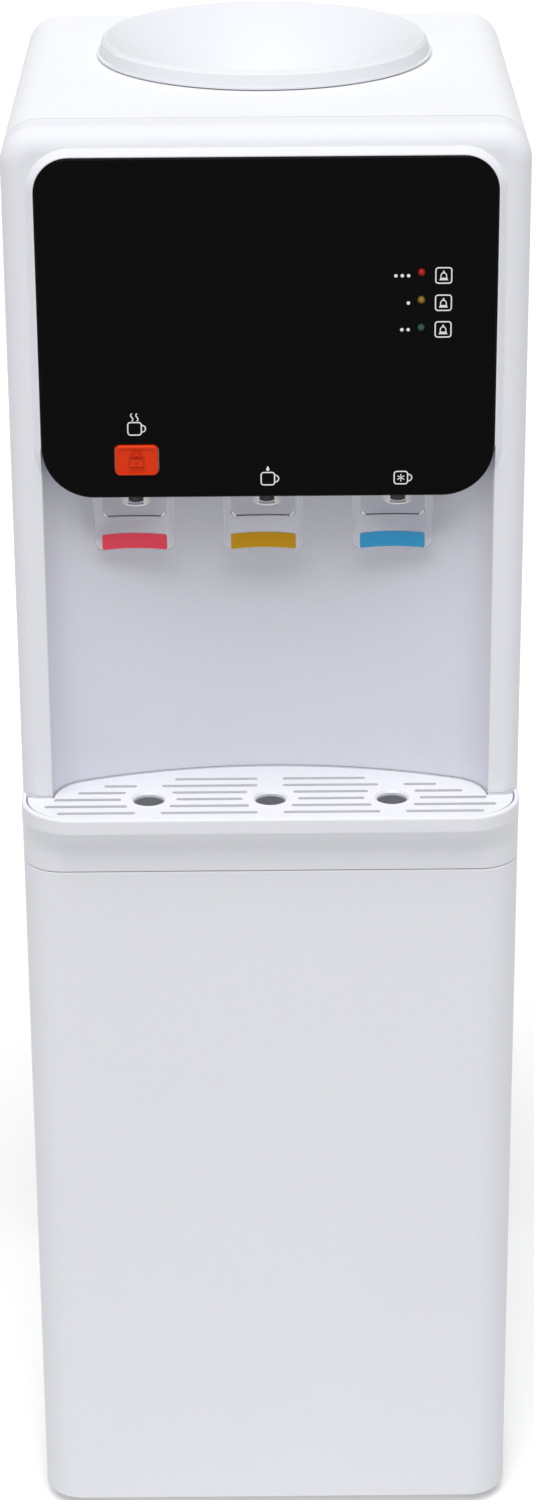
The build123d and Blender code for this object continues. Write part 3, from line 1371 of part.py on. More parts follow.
with BuildPart() as compressor:
    with BuildSketch(Plane.XY.offset(plate_z)):
        with Locations((compressor_x, compressor_y)):
            RectangleRounded(mount_spacing + 2 * mount_radius, mount_spacing + 2 * mount_radius, mount_radius)
        with Locations(mount_places):
            Circle(mount_bolt + face_gap, mode=Mode.SUBTRACT)
    extrude(amount=plate_thickness)
    with BuildSketch(Plane.XY.offset(shell_z)):
        with Locations((compressor_x, compressor_y)):
            Ellipse(compressor_radius, compressor_radius - 2 * compressor_belt)
    extrude(amount=compressor_height)
    fillet(compressor.faces().sort_by(Axis.Z)[-1].edges(), radius=compressor_crown)
    with BuildSketch(Plane.XY.offset(shell_z + compressor_height / 2)):
        with Locations((compressor_x, compressor_y)):
            Ellipse(compressor_radius + compressor_belt / 2, compressor_radius - 1.5 * compressor_belt)
    extrude(amount=compressor_skirt)
    with BuildSketch(Plane.XY.offset(plate_z)):
        with Locations((compressor_x, compressor_y)):
            Ellipse(compressor_radius - compressor_belt, compressor_radius - 3 * compressor_belt)
            Circle(pump_radius, mode=Mode.SUBTRACT)
    extrude(amount=plate_thickness + compressor_height - compressor_crown, mode=Mode.SUBTRACT)
write_step(compressor, "compressor")

with BuildPart() as compressor_bolts:
    with BuildSketch(Plane.XY.offset(bottom_z)):
        with Locations(mount_places):
            Circle(mount_bolt)
    extrude(amount=plate_z - bottom_z + plate_thickness)
    with BuildSketch(Plane.XY.offset(shell_z)):
        with Locations(mount_places):
            RegularPolygon(2 * mount_bolt, 6)
    extrude(amount=mount_bolt)
write_step(compressor_bolts, "compressor_bolts")

# Condenser: serpentine tube between two rows of wires, on four straps behind the lower half
tube_radius = 2.4
run_half = 110.0
run_pitch = 26.0
run_count = 13
condenser_foot_height = 70.0
wire_radius = 0.8
wire_count = 24
strap_height = 16.0
strap_sheet = 1.2
condenser_y = back_y - 3 * tube_radius
condenser_z = bottom_z + condenser_foot_height
condenser_top_z = condenser_z + run_pitch * (run_count - 1)
wire_overhang = 14.0
wire_length = condenser_top_z - condenser_z + 2 * wire_overhang
wire_pitch = 2 * run_half / (wire_count - 1)
wire_offset = tube_radius + wire_radius + pin_gap

with BuildPart() as condenser:
    with BuildLine(plane_at_y(condenser_y)) as route:
        for run in range(run_count):
            side = 1 if run % 2 == 0 else -1
            run_z = condenser_z + run * run_pitch
            Line((-side * run_half, run_z), (side * run_half, run_z))
            if run < run_count - 1:
                ThreePointArc((side * run_half, run_z),
                              (side * (run_half + run_pitch / 2), run_z + run_pitch / 2),
                              (side * run_half, run_z + run_pitch))
    with BuildSketch(plane_at_x(-run_half)):
        with Locations((condenser_y, condenser_z)):
            Circle(tube_radius)
    sweep(path=route.wires()[0])
    for row in (-1, 1):
        with BuildSketch(Plane.XY.offset(condenser_z - wire_overhang)):
            with Locations((0, condenser_y + row * wire_offset)):
                with GridLocations(wire_pitch, wire_pitch, wire_count, 1):
                    Circle(wire_radius)
        extrude(amount=wire_length)
    for side in (-1, 1):
        for strap_z in (condenser_z + run_pitch, condenser_top_z - run_pitch):
            strap_y = condenser_y + wire_offset + wire_radius + face_gap
            with BuildSketch(Plane.XY.offset(strap_z - strap_height / 2)):
                with Locations((side * (run_half - 2 * wire_pitch + inner_half - wall) / 2,
                                strap_y + strap_sheet / 2)):
                    Rectangle(inner_half - wall - run_half + 2 * wire_pitch, strap_sheet)
                with Locations((side * (inner_half - wall - strap_sheet / 2),
                                (flange_y + sheet + face_gap + strap_y + strap_sheet) / 2)):
                    Rectangle(strap_sheet, strap_y + strap_sheet - flange_y - sheet - face_gap)
            extrude(amount=strap_height)
write_step(condenser, "condenser")

def bent_tube(points, bend, outer, bore=0.0):
    """Tube along straight runs joined by arcs, hollow where a bore is given."""
    start = Vector(*points[0])
    heading = (Vector(*points[1]) - start).normalized()
    with BuildPart() as tube:
        with BuildLine() as path:
            FilletPolyline(*points, radius=bend)
        with BuildSketch(Plane(origin=start, z_dir=heading)):
            Circle(outer)
            if bore:
                Circle(bore, mode=Mode.SUBTRACT)
        sweep(path=path.wires()[0])
    return tube.part


# Filter dryer and the refrigerant pipes between compressor, condenser and evaporator
dryer_radius = 10.0
dryer_length = 70.0
dryer_end = 8.0
pipe_radius = 3.0
capillary_radius = 1.2
pipe_bend = 12.0
dryer_height = 142.0
discharge_side_x = 126.0
dryer_z = bottom_z + dryer_height
shell_top_z = shell_z + compressor_height
discharge_x = compressor_x - compressor_radius / 2
suction_x = compressor_x + compressor_radius / 2
low_run_z = shell_top_z + 2 * pipe_bend
high_run_z = low_run_z + pipe_bend
evaporator_z = cold_bottom_z + cold_length / 2
jacket_reach = sqrt(dryer_x ** 2 + (dryer_y - collar_y) ** 2)
entry_share = (jacket_radius + face_gap) / jacket_reach
entry_x = dryer_x * entry_share
entry_y = collar_y + (dryer_y - collar_y) * entry_share

with BuildPart() as filter_dryer:
    for offset_z, length, radius in ((0, dryer_length, pipe_radius),
                                     (dryer_end, dryer_length - 2 * dryer_end, dryer_radius)):
        with BuildSketch(Plane.XY.offset(dryer_z + offset_z)):
            with Locations((dryer_x, dryer_y)):
                Circle(radius)
        extrude(amount=length)
    fillet(filter_dryer.edges().filter_by(GeomType.CIRCLE).sort_by(SortBy.RADIUS)[-2:], radius=dryer_end / 2)

with BuildPart() as refrigerant_pipes:
    add(filter_dryer.part)
    add(bent_tube([(discharge_x, compressor_y, shell_top_z), (discharge_x, compressor_y, high_run_z),
                   (discharge_x, dryer_y, high_run_z), (discharge_side_x, dryer_y, high_run_z),
                   (discharge_side_x, dryer_y, condenser_top_z),
                   (discharge_side_x, condenser_y, condenser_top_z),
                   (run_half + face_gap, condenser_y, condenser_top_z)], pipe_bend, tube_radius))
    add(bent_tube([(-run_half - face_gap, condenser_y, condenser_z), (dryer_x, condenser_y, condenser_z),
                   (dryer_x, dryer_y, condenser_z), (dryer_x, dryer_y, dryer_z - face_gap)],
                  pipe_bend, tube_radius))
    add(bent_tube([(dryer_x, dryer_y, dryer_z + dryer_length + face_gap), (dryer_x, dryer_y, evaporator_z),
                   (entry_x, entry_y, evaporator_z)], pipe_bend, capillary_radius))
    add(bent_tube([(suction_x, compressor_y, shell_top_z), (suction_x, compressor_y, low_run_z),
                   (suction_side_x, compressor_y, low_run_z), (suction_side_x, compressor_y, evaporator_z),
                   (jacket_radius + face_gap, compressor_y, evaporator_z)], pipe_bend, pipe_radius))
write_step(refrigerant_pipes, "refrigerant_pipes")

# Silicone hoses: tanks to taps, cold tank to hot tank, hot tank to the drain outlet
hose_radius = 5.5
hose_bore = 3.5
hose_bend = 10.0
hose_rise_gap = 30.0
hose_rise_y = bay_back_y + hose_rise_gap
hose_run_z = cold_bottom_z - stub_length - 2 * hose_bend
stub_top_z = hot_top_z - cold_wall + stub_length + face_gap
stub_foot_z = cold_bottom_z - stub_length - face_gap
side_inlet_y = liner_back_y - bay_depth / 5 + inlet_thread + face_gap
middle_inlet_y = liner_back_y + inlet_thread + face_gap

with BuildPart() as water_hoses:
    add(bent_tube([(hot_x, hot_y, stub_top_z), (hot_x, hot_y, hose_run_z), (hot_x, hose_rise_y, hose_run_z),
                   (hot_x, hose_rise_y, inlet_z), (hot_x, side_inlet_y, inlet_z)],
                  hose_bend, hose_radius, hose_bore))
    for (stub_x, stub_y), tap_x, inlet_y in zip(cold_stubs, tap_xs[1:], (middle_inlet_y, side_inlet_y)):
        add(bent_tube([(stub_x, stub_y, stub_foot_z), (stub_x, stub_y, hose_run_z),
                       (stub_x, hose_rise_y, hose_run_z), (tap_x, hose_rise_y, hose_run_z),
                       (tap_x, hose_rise_y, inlet_z), (tap_x, inlet_y, inlet_z)],
                      hose_bend, hose_radius, hose_bore))
    feed_x, feed_y = cold_stubs[2]
    add(bent_tube([(feed_x, feed_y, stub_foot_z), (feed_x, feed_y, hose_run_z), (hot_x, feed_y, hose_run_z),
                   (hot_x, hot_feed_y, hose_run_z), (hot_x, hot_feed_y, stub_top_z)],
                  hose_bend, hose_radius, hose_bore))
    add(bent_tube([(hot_x, hot_y, hot_tank_z - stub_length - face_gap), (hot_x, hot_y, drain_z),
                   (hot_x, outer_sheet_y - drain_inside - face_gap, drain_z)],
                  hose_bend, hose_radius, hose_bore))
write_step(water_hoses, "water_hoses")
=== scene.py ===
import math
from types import SimpleNamespace

import bmesh
import bpy
from mathutils import Matrix, Vector


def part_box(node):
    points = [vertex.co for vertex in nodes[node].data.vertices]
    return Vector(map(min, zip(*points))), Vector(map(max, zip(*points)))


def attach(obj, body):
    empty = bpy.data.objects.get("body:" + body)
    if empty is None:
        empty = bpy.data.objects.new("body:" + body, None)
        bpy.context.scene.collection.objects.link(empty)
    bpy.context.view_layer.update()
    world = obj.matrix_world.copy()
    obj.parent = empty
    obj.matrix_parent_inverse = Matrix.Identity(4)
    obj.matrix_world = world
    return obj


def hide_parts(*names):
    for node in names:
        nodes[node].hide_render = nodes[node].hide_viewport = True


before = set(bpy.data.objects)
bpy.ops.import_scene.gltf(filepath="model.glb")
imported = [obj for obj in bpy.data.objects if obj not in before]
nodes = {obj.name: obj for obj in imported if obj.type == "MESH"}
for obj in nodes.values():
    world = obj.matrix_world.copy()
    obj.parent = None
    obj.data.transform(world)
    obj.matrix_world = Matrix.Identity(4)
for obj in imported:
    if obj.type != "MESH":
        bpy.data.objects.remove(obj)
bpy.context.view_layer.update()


# Camera: in front of the cooler at chest height, looking down on it.
# Its place and its three angles were worked out from the cooler's straight edges.
picture_height = 1500
focal_pixels = 3547.8
film_mm = 36.0
eye = Vector((-0.006284, -2.088, 1.3856))
yaw, pitch, roll = 0.00228221, 0.413381, -0.00728075
ahead = Vector((math.sin(yaw) * math.cos(pitch), math.cos(yaw) * math.cos(pitch), -math.sin(pitch)))
level = Vector((math.cos(yaw), -math.sin(yaw), 0.0))
upright = level.cross(ahead)
right = level * math.cos(roll) + upright * math.sin(roll)
up = upright * math.cos(roll) - level * math.sin(roll)

lens = bpy.data.cameras.new("picture_camera")
lens.sensor_width = film_mm
lens.lens = focal_pixels * film_mm / picture_height
lens.clip_end = 80.0
camera = bpy.data.objects.new("picture_camera", lens)
camera.matrix_world = Matrix.Translation(eye) @ Matrix((right, up, -ahead)).transposed().to_4x4()
bpy.context.scene.collection.objects.link(camera)
bpy.context.scene.camera = camera
bpy.context.scene.view_settings.view_transform = "Standard"


# Floor and room: a pale floor that reads as white to the camera and keeps the
# cooler's shadow, and an even white room that lights the object softly.
floor_radius = 14.0
floor_sides = 96
floor_colours = ((0.77, 0.77, 0.77, 1.0), (0.79, 0.79, 0.79, 1.0))
floor_speckle_size = 0.02
floor_whitening = 0.28
room_strength = 0.43


class Level:
    """A node's output, wrapped so that sums on it read as plain sums."""

    def __init__(self, maker, socket):
        self.maker, self.socket = maker, socket

    def maths(self, operation, first, second):
        return self.maker.node("ShaderNodeMath", {"operation": operation}, {0: first, 1: second})

    def __add__(self, other):
        return self.maths("ADD", self, other)

    def __sub__(self, other):
        return self.maths("SUBTRACT", self, other)

    def __rsub__(self, other):
        return self.maths("SUBTRACT", other, self)

    def __mul__(self, other):
        return self.maths("MULTIPLY", self, other)

    def __gt__(self, other):
        return self.maths("GREATER_THAN", self, other)

    __radd__ = __add__
    __rmul__ = __mul__


class Nodes:
    """A node tree with one way to add a node: its type, its settings, and its sockets' values or links."""

    def node(self, kind, settings=None, sockets=None, result=0):
        made = self.tree.nodes.new(kind)
        for name, value in (settings or {}).items():
            if name == "stops":
                ramp = made.color_ramp.elements
                while len(ramp) < len(value):
                    ramp.new(1.0)
                for stop, (place, colour) in zip(ramp, value):
                    stop.position, stop.color = place, colour
            else:
                setattr(made, name, value)
        for name, value in (sockets or {}).items():
            several = isinstance(value, list) and isinstance(value[0], Level)
            for one in value if several else [value]:
                if isinstance(one, Level):
                    self.tree.links.new(one.socket, made.inputs[name])
                else:
                    made.inputs[name].default_value = one
        return Level(self, made.outputs[result]) if made.outputs else None

    def axis(self, vector, number):
        return self.node("ShaderNodeSeparateXYZ", {}, {0: vector}, number)


class Finish(Nodes):
    """The shader nodes of one material or of the room."""

    def __init__(self, owner):
        owner.use_nodes = True
        self.owner, self.tree = owner, owner.node_tree
        self.tree.nodes.clear()

    def mixed(self, share, colour_a, colour_b):
        return self.node("ShaderNodeMix", {"data_type": "RGBA"}, {0: share, 6: colour_a, 7: colour_b}, 2)

    def place(self):
        return self.node("ShaderNodeTexCoord", result="Object")

    def noise(self, size, detail=2.0, stretch=None):
        spot = self.place()
        if stretch:
            spot = self.node("ShaderNodeMapping", {}, {0: spot, 3: stretch})
        return self.node("ShaderNodeTexNoise", {}, {"Vector": spot, "Scale": 1.0 / size, "Detail": detail})

    def relief(self, height, depth, under=None):
        sockets = {"Strength": 1.0, "Distance": depth, "Height": height}
        if under:
            sockets["Normal"] = under
        return self.node("ShaderNodeBump", {}, sockets)

    def plastic(self, **sockets):
        """The finish itself. A socket's name is written with underscores for its spaces."""
        named = {name.replace("_", " "): value for name, value in sockets.items()}
        self.show(self.node("ShaderNodeBsdfPrincipled", {}, named))

    def show(self, shader):
        target = "World" if isinstance(self.owner, bpy.types.World) else "Material"
        self.node("ShaderNodeOutput" + target, {}, {"Surface": shader})


def white_rays(finish):
    """1 where the camera, a mirror or clear plastic looks straight at the surface."""
    misses = None
    for name in ("Is Camera Ray", "Is Glossy Ray", "Is Transmission Ray"):
        ray = 1 - finish.node("ShaderNodeLightPath", result=name)
        misses = ray if misses is None else misses * ray
    return 1 - misses


floor_mesh = bpy.data.meshes.new("floor")
floor_turns = [math.tau * n / floor_sides for n in range(floor_sides)]
floor_rim = [(floor_radius * math.cos(turn), floor_radius * math.sin(turn), 0.0) for turn in floor_turns]
floor_mesh.from_pydata(floor_rim, [], [range(floor_sides)])
floor = bpy.data.objects.new("floor", floor_mesh)
bpy.context.scene.collection.objects.link(floor)
floor_finish = Finish(bpy.data.materials.new("floor"))
floor_speckle = floor_finish.noise(floor_speckle_size, 3.0)
floor_matt = floor_finish.node("ShaderNodeBsdfDiffuse", {}, {
    "Color": floor_finish.mixed(floor_speckle, *floor_colours), "Roughness": 0.5})
floor_glow = floor_finish.node("ShaderNodeEmission", {}, {"Strength": floor_whitening})
floor_seen = floor_finish.node("ShaderNodeAddShader", {}, {0: floor_matt, 1: floor_glow})
floor_finish.show(floor_finish.node("ShaderNodeMixShader", {}, {
    0: white_rays(floor_finish), 1: floor_matt, 2: floor_seen}))
floor_mesh.materials.append(floor_finish.owner)

room = Finish(bpy.data.worlds.new("room"))
room_light = room.node("ShaderNodeBackground", {}, {"Strength": room_strength})
room_white = room.node("ShaderNodeBackground", {}, {"Strength": 1.0})
room.show(room.node("ShaderNodeMixShader", {}, {0: white_rays(room), 1: room_light, 2: room_white}))
bpy.context.scene.world = room.owner


# Lamp: one wide soft source high in front of the cooler, even over the whole floor,
# at a level where a colour renders about as it is written.
lamp_height = math.radians(67.0)
lamp_turn = math.radians(-6.0)
lamp_spread = math.radians(52.0)
lamp_strength = 2.40
key = bpy.data.lights.new("soft_key", "SUN")
key.angle, key.energy = lamp_spread, lamp_strength
key_box = bpy.data.objects.new("soft_key", key)
key_box.rotation_euler = (math.pi / 2 - lamp_height, 0.0, lamp_turn)
bpy.context.scene.collection.objects.link(key_box)


# Base pan and feet: a folded zinc-coated steel tray on four screwed-in rubber feet.
# It carries the compressor and holds the side panels and the lower front together.
def dress(finish, *names):
    """Gives CAD nodes their finish."""
    for name in names:
        mesh = nodes[name].data
        if not mesh.materials:
            mesh.materials.append(None)
        for spot in range(len(mesh.materials)):
            mesh.materials[spot] = finish.owner


def spangled_zinc(name):
    """Hot-dip zinc: crystal flowers of slightly different grey on steel sheet."""
    finish = Finish(bpy.data.materials.new(name))
    flowers = finish.node("ShaderNodeTexVoronoi", {}, {"Vector": finish.place(), "Scale": 95.0}, "Color")
    shade = finish.node("ShaderNodeSeparateColor", {}, {0: flowers})
    scuffs = finish.noise(0.004, 4.0, (1.0, 1.0, 0.15))
    finish.plastic(Base_Color=finish.mixed(shade, (0.52, 0.54, 0.56, 1), (0.74, 0.76, 0.78, 1)), Metallic=1.0,
                   Roughness=shade * 0.12 + scuffs * 0.16 + 0.24, Normal=finish.relief(scuffs, 0.00003))
    return finish


def moulded_rubber(name, colour):
    finish = Finish(bpy.data.materials.new(name))
    bloom = finish.noise(0.006, 4.0)
    lighter = [min(1.0, part * 1.5 + 0.006) for part in colour] + [1]
    finish.plastic(Base_Color=finish.mixed(bloom, [*colour, 1], lighter), Roughness=bloom * 0.2 + 0.55,
                   Normal=finish.relief(finish.noise(0.0006), 0.00004))
    return finish


zinc_sheet = spangled_zinc("zinc_sheet")
black_rubber = moulded_rubber("black_rubber", (0.018, 0.018, 0.019))
dress(zinc_sheet, "base_pan", "hot_tank_shelf", "cold_tank_shelf", "back_panel")
dress(black_rubber, "feet", "compressor_mounts")


# Side panels: folded steel sheet with a white powder coat, hooked into the pan
# and under the top cover. The coat has the fine orange peel of baked powder.
white_sheet = Finish(bpy.data.materials.new("white_powder_coat"))
peel = white_sheet.noise(0.0016, 1.0)
drift = white_sheet.noise(0.16, 2.0)
white_sheet.plastic(Base_Color=white_sheet.mixed(drift, (0.845, 0.853, 0.888, 1), (0.862, 0.870, 0.905, 1)),
                    Roughness=peel * 0.06 + 0.30, Normal=white_sheet.relief(peel, 0.00002))
dress(white_sheet, "left_side_panel", "right_side_panel")


# White mouldings of the front: lower panel, tray housing, fascia and top cover.
# Injection-moulded plastic with a satin gloss; the steel tool leaves a very fine grain.
def moulded(name, colour, roughness, grain=0.0007, depth=0.000006, wave=0.00025, gloss=0.5):
    """Moulded plastic: slight clouding, a fine grain, and broad shallow waves from cooling."""
    finish = Finish(bpy.data.materials.new(name))
    cloud = finish.noise(0.11, 3.0)
    skin = finish.noise(grain, 1.0)
    waves = finish.relief(finish.noise(0.09, 1.0), wave)
    dull = [part * 0.972 for part in colour] + [1]
    finish.plastic(Base_Color=finish.mixed(cloud, dull, [*colour, 1]),
                   Roughness=cloud * 0.07 + roughness - 0.035,
                   Normal=finish.relief(skin, depth, waves), Specular_IOR_Level=gloss)
    return finish


white_shell = moulded("white_shell", (0.878, 0.882, 0.928), 0.42, gloss=0.08)
# Painted light: the top cover's white is lighter than the shell's, for the light that falls on the roof.
white_roof_painted_light = moulded("white_roof_painted_light", (0.935, 0.940, 0.970), 0.42, gloss=0.08)
dress(white_shell, "lower_front_panel", "tray_housing", "front_fascia")
dress(white_roof_painted_light, "top_cover")


# Bay liner and tap bodies: the same plastic from smoother tools, so the corners
# of the bay catch soft upright highlights.
# Painted shade: the liner's white is darker than the shell's, for the shade deep in the bay.
white_liner_painted_shade = moulded("white_liner_painted_shade", (0.797, 0.794, 0.880), 0.24, wave=0.0001)
# Painted light: the taps' white is lighter than the shell's so that the spouts under the panel read as lit.
white_tap_painted_light = moulded("white_tap_painted_light", (0.95, 0.955, 0.965), 0.14, gloss=1.0)
dress(white_liner_painted_shade, "bay_liner")
dress(white_tap_painted_light, "tap_body_hot", "tap_body_warm", "tap_body_cold", "tap_bonnets", "tap_nuts", "bottle_probe",
      "cold_tank_lid")


# Drip tray and slotted grille: white mouldings that are rinsed every day,
# with a faint haze of dried water in soft patches over the whole grille.
white_grille = Finish(bpy.data.materials.new("white_grille"))
haze = white_grille.noise(0.035, 5.0)
white_grille.plastic(Base_Color=white_grille.mixed(haze, (0.872, 0.877, 0.915, 1), (0.860, 0.865, 0.900, 1)),
                     Roughness=haze * 0.12 + 0.24,
                     Normal=white_grille.relief(white_grille.noise(0.0007), 0.000006))
dress(white_grille, "drip_grille")
tray_white = moulded("tray_white", (0.80, 0.81, 0.84), 0.34)
dress(tray_white, "drip_tray")


# Spout nozzles, valve stems and hoses: silicone rubber, dark in the spouts
# and milky white where it carries the water.
nozzle_rubber = moulded_rubber("nozzle_rubber", (0.060, 0.058, 0.056))
valve_rubber = moulded_rubber("valve_rubber", (0.70, 0.70, 0.68))
hose_silicone = moulded_rubber("hose_silicone", (0.78, 0.79, 0.77))
dress(nozzle_rubber, "spout_nozzles")
dress(valve_rubber, "valve_stem_hot", "valve_stem_warm", "valve_stem_cold")
dress(hose_silicone, "water_hoses", "neck_gasket")


# Push levers: clear polystyrene mouldings on steel pins. Their faces are polished,
# with faint flow lines that run down from the gate at the top.
clear_lever = Finish(bpy.data.materials.new("clear_lever"))
flow = clear_lever.noise(0.006, 2.0, (1.0, 1.0, 0.25))
clear_lever.plastic(Base_Color=clear_lever.mixed(flow, (0.955, 0.958, 0.968, 1), (0.975, 0.977, 0.985, 1)),
                    Roughness=flow * 0.03 + 0.015, Normal=clear_lever.relief(flow, 0.00002),
                    Transmission_Weight=1.0, IOR=1.59)
dress(clear_lever, "lever_hot", "lever_warm", "lever_cold")


# Colour bars and the child-lock button: small dyed mouldings, glossy, pressed
# into their seats. Pink-red is hot, ochre is warm and sky blue is cold.
for bar_name, bar_colour in (("hot", (0.90, 0.072, 0.118)), ("warm", (0.62, 0.32, 0.003)),
                             ("cold", (0.046, 0.365, 0.69))):
    dress(moulded("bar_" + bar_name, bar_colour, 0.24, gloss=0.15), "lever_bar_" + bar_name)
button_orange = moulded("button_orange", (0.80, 0.042, 0.001), 0.27, gloss=0.15)
dress(button_orange, "lock_button")


# Control panel: one thick black moulding with a bevelled rim, polished like piano lacquer.
# Only faint dust and wiping marks change its gloss.
black_gloss = Finish(bpy.data.materials.new("black_gloss"))
wiping = black_gloss.noise(0.05, 4.0, (1.0, 1.0, 0.4))
black_clean, black_wiped = (0.0022, 0.0022, 0.0024, 1), (0.0034, 0.0034, 0.0036, 1)
black_gloss.plastic(Base_Color=black_gloss.mixed(wiping, black_clean, black_wiped),
                    Roughness=wiping * 0.05 + 0.03, Specular_IOR_Level=0.035)
dress(black_gloss, "control_panel")


# Signs on the panel: one layer of white ink, screen-printed. Three framed jugs beside the
# lamps with counting dots on their left, and a mug over each tap with steam, a drop or a flake.
ink_height = 0.00008
line_width = 0.0007
frame_side = 0.0090
frame_corner = frame_side / 6
frame_x = 0.1002
frame_zs = (0.8242, 0.8082, 0.7925)
dot_counts = (3, 1, 2)
dot_radius = 0.0010
dot_pitch = 0.0036
dots_end_x = 0.0803
jug_base = ((-0.29, -0.31), (0.29, -0.31), (0.22, -0.20), (-0.22, -0.20))
jug_body = ((0.19, -0.18), (0.17, 0.04), (0.08, 0.16), (-0.08, 0.16), (-0.17, 0.04), (-0.19, -0.18))
jug_knob = ((-0.05, 0.18), (0.05, 0.18), (0.05, 0.30), (-0.05, 0.30))
jug_line_share = 0.8
mug_width, mug_height, mug_corner = 0.0078, 0.0076, 0.0016
mug_places = ((-0.0768, 0.7345), (-0.0002, 0.7035), (0.0769, 0.7035))
handle_share, handle_arc = 0.27, (-90, 90, 10)
rim_gap_lines = 1.2
steam_shifts = (-0.19, 0.19)
steam_sway, steam_step, steam_points = 0.08, 0.05, 12
drop_rise_lines, drop_radius_lines, drop_tip_lines, drop_arc = 1.5, 1.35, 4.6, (-215, 35, 16)
flake_share, flake_line_share, flake_arms, flake_tilt = 0.30, 0.7, 3, 30
panel_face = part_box("control_panel")[0].y


class Ink:
    """Flat shapes on a front face, drawn in X and Z from lines and filled outlines."""

    def __init__(self, face, height):
        self.bm = bmesh.new()
        self.levels = (face - height, face)

    def slab(self, outline):
        """A filled outline, as a thin closed layer."""
        if sum(a[0] * b[1] - b[0] * a[1] for a, b in zip(outline, outline[1:] + outline[:1])) < 0:
            outline = outline[::-1]
        front, back = ([self.bm.verts.new((x, y, z)) for x, z in outline] for y in self.levels)
        self.bm.faces.new(front)
        self.bm.faces.new(back[::-1])
        for n in range(len(outline)):
            after = (n + 1) % len(outline)
            self.bm.faces.new((front[n], back[n], back[after], front[after]))

    def line(self, points, width=line_width):
        """A drawn line: one slab for each stretch between two points."""
        for (x0, z0), (x1, z1) in zip(points, points[1:]):
            run = math.hypot(x1 - x0, z1 - z0)
            side_x, side_z = -(z1 - z0) / run * width / 2, (x1 - x0) / run * width / 2
            self.slab([(x0 - side_x, z0 - side_z), (x1 - side_x, z1 - side_z),
                       (x1 + side_x, z1 + side_z), (x0 + side_x, z0 + side_z)])

    def ring(self, outline, width=line_width):
        """A closed line of even width with sharp joins."""
        count = len(outline)
        inner, outer = [], []
        for n, (x, z) in enumerate(outline):
            before, after = outline[n - 1], outline[(n + 1) % count]
            way = Vector((x - before[0], z - before[1])).normalized()
            onward = Vector((after[0] - x, after[1] - z)).normalized()
            across = Vector((-(way.y + onward.y), way.x + onward.x)).normalized()
            reach = width / 2 / max(0.5, across.dot(Vector((-way.y, way.x))))
            inner.append((x + across.x * reach, z + across.y * reach))
            outer.append((x - across.x * reach, z - across.y * reach))
        layers = [[self.bm.verts.new((x, y, z)) for x, z in loop]
                  for y in self.levels for loop in (outer, inner)]
        front_out, front_in, back_out, back_in = layers
        for n in range(count):
            m = (n + 1) % count
            self.bm.faces.new((front_out[n], front_out[m], front_in[m], front_in[n]))
            self.bm.faces.new((back_out[m], back_out[n], back_in[n], back_in[m]))
            self.bm.faces.new((front_out[m], front_out[n], back_out[n], back_out[m]))
            self.bm.faces.new((front_in[n], front_in[m], back_in[m], back_in[n]))

    def piece(self, name, finish):
        mesh = bpy.data.meshes.new(name)
        bmesh.ops.recalc_face_normals(self.bm, faces=self.bm.faces)
        self.bm.to_mesh(mesh)
        mesh.materials.append(finish.owner)
        made = bpy.data.objects.new(name, mesh)
        bpy.context.scene.collection.objects.link(made)
        return made


def arc(x, z, radius, start, end, steps=8):
    """Points on an arc round x, z, with angles in degrees, anticlockwise from +X."""
    turns = [math.radians(start + (end - start) * n / steps) for n in range(steps + 1)]
    return [(x + radius * math.cos(turn), z + radius * math.sin(turn)) for turn in turns]


def disc(x, z, radius, points=24):
    """A full round outline."""
    return arc(x, z, radius, 0, 360 - 360 / points, points - 1)


def rounded_frame(x, z, half_wide, half_high, corner):
    """A rectangle with round corners, anticlockwise."""
    points = []
    for quarter, (side_x, side_z) in enumerate(((1, 1), (-1, 1), (-1, -1), (1, -1))):
        points += arc(x + side_x * (half_wide - corner), z + side_z * (half_high - corner), corner,
                      90 * quarter, 90 * quarter + 90, 5)
    return points


def jug(x, z, shares):
    """One outline of the jug sign, from its table in shares of the frame's side."""
    return [(x + side * frame_side, z + rise * frame_side) for side, rise in shares]


ink = Ink(panel_face, ink_height)
for z, count in zip(frame_zs, dot_counts):
    ink.ring(rounded_frame(frame_x, z, frame_side / 2, frame_side / 2, frame_corner))
    ink.slab(jug(frame_x, z, jug_base))
    ink.ring(jug(frame_x, z, jug_body), line_width * jug_line_share)
    ink.slab(jug(frame_x, z, jug_knob))
    for place in range(count):
        ink.slab(disc(dots_end_x - place * dot_pitch, z, dot_radius))
for (x, z), sign in zip(mug_places, ("steam", "drop", "flake")):
    ink.ring(rounded_frame(x, z, mug_width / 2, mug_height / 2, mug_corner))
    ink.line(arc(x + mug_width / 2 + line_width / 2, z, mug_height * handle_share, *handle_arc))
    rim_z = z + mug_height / 2 + line_width * rim_gap_lines
    if sign == "steam":
        for shift in steam_shifts:
            sway = [steam_sway * math.sin(math.tau * n / steam_points) for n in range(steam_points + 1)]
            ink.line([(x + mug_width * (shift + aside), rim_z + mug_height * steam_step * n)
                      for n, aside in enumerate(sway)])
    elif sign == "drop":
        belly = arc(x, rim_z + line_width * drop_rise_lines, line_width * drop_radius_lines, *drop_arc)
        ink.slab(belly + [(x, rim_z + line_width * drop_tip_lines)])
    else:
        reach = mug_height * flake_share
        for arm in range(flake_arms):
            heading = math.radians(180 / flake_arms * arm + flake_tilt)
            side, rise = reach * math.cos(heading), reach * math.sin(heading)
            ink.line([(x - side, z - rise), (x + side, z + rise)], line_width * flake_line_share)
white_ink = Finish(bpy.data.materials.new("white_ink"))
screen = white_ink.noise(0.0005, 2.0)
white_ink.plastic(Base_Color=white_ink.mixed(screen, (0.84, 0.84, 0.85, 1), (0.94, 0.94, 0.95, 1)),
                  Roughness=screen * 0.2 + 0.4)
panel_signs = ink.piece("panel_signs", white_ink)
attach(panel_signs, "cabinet")
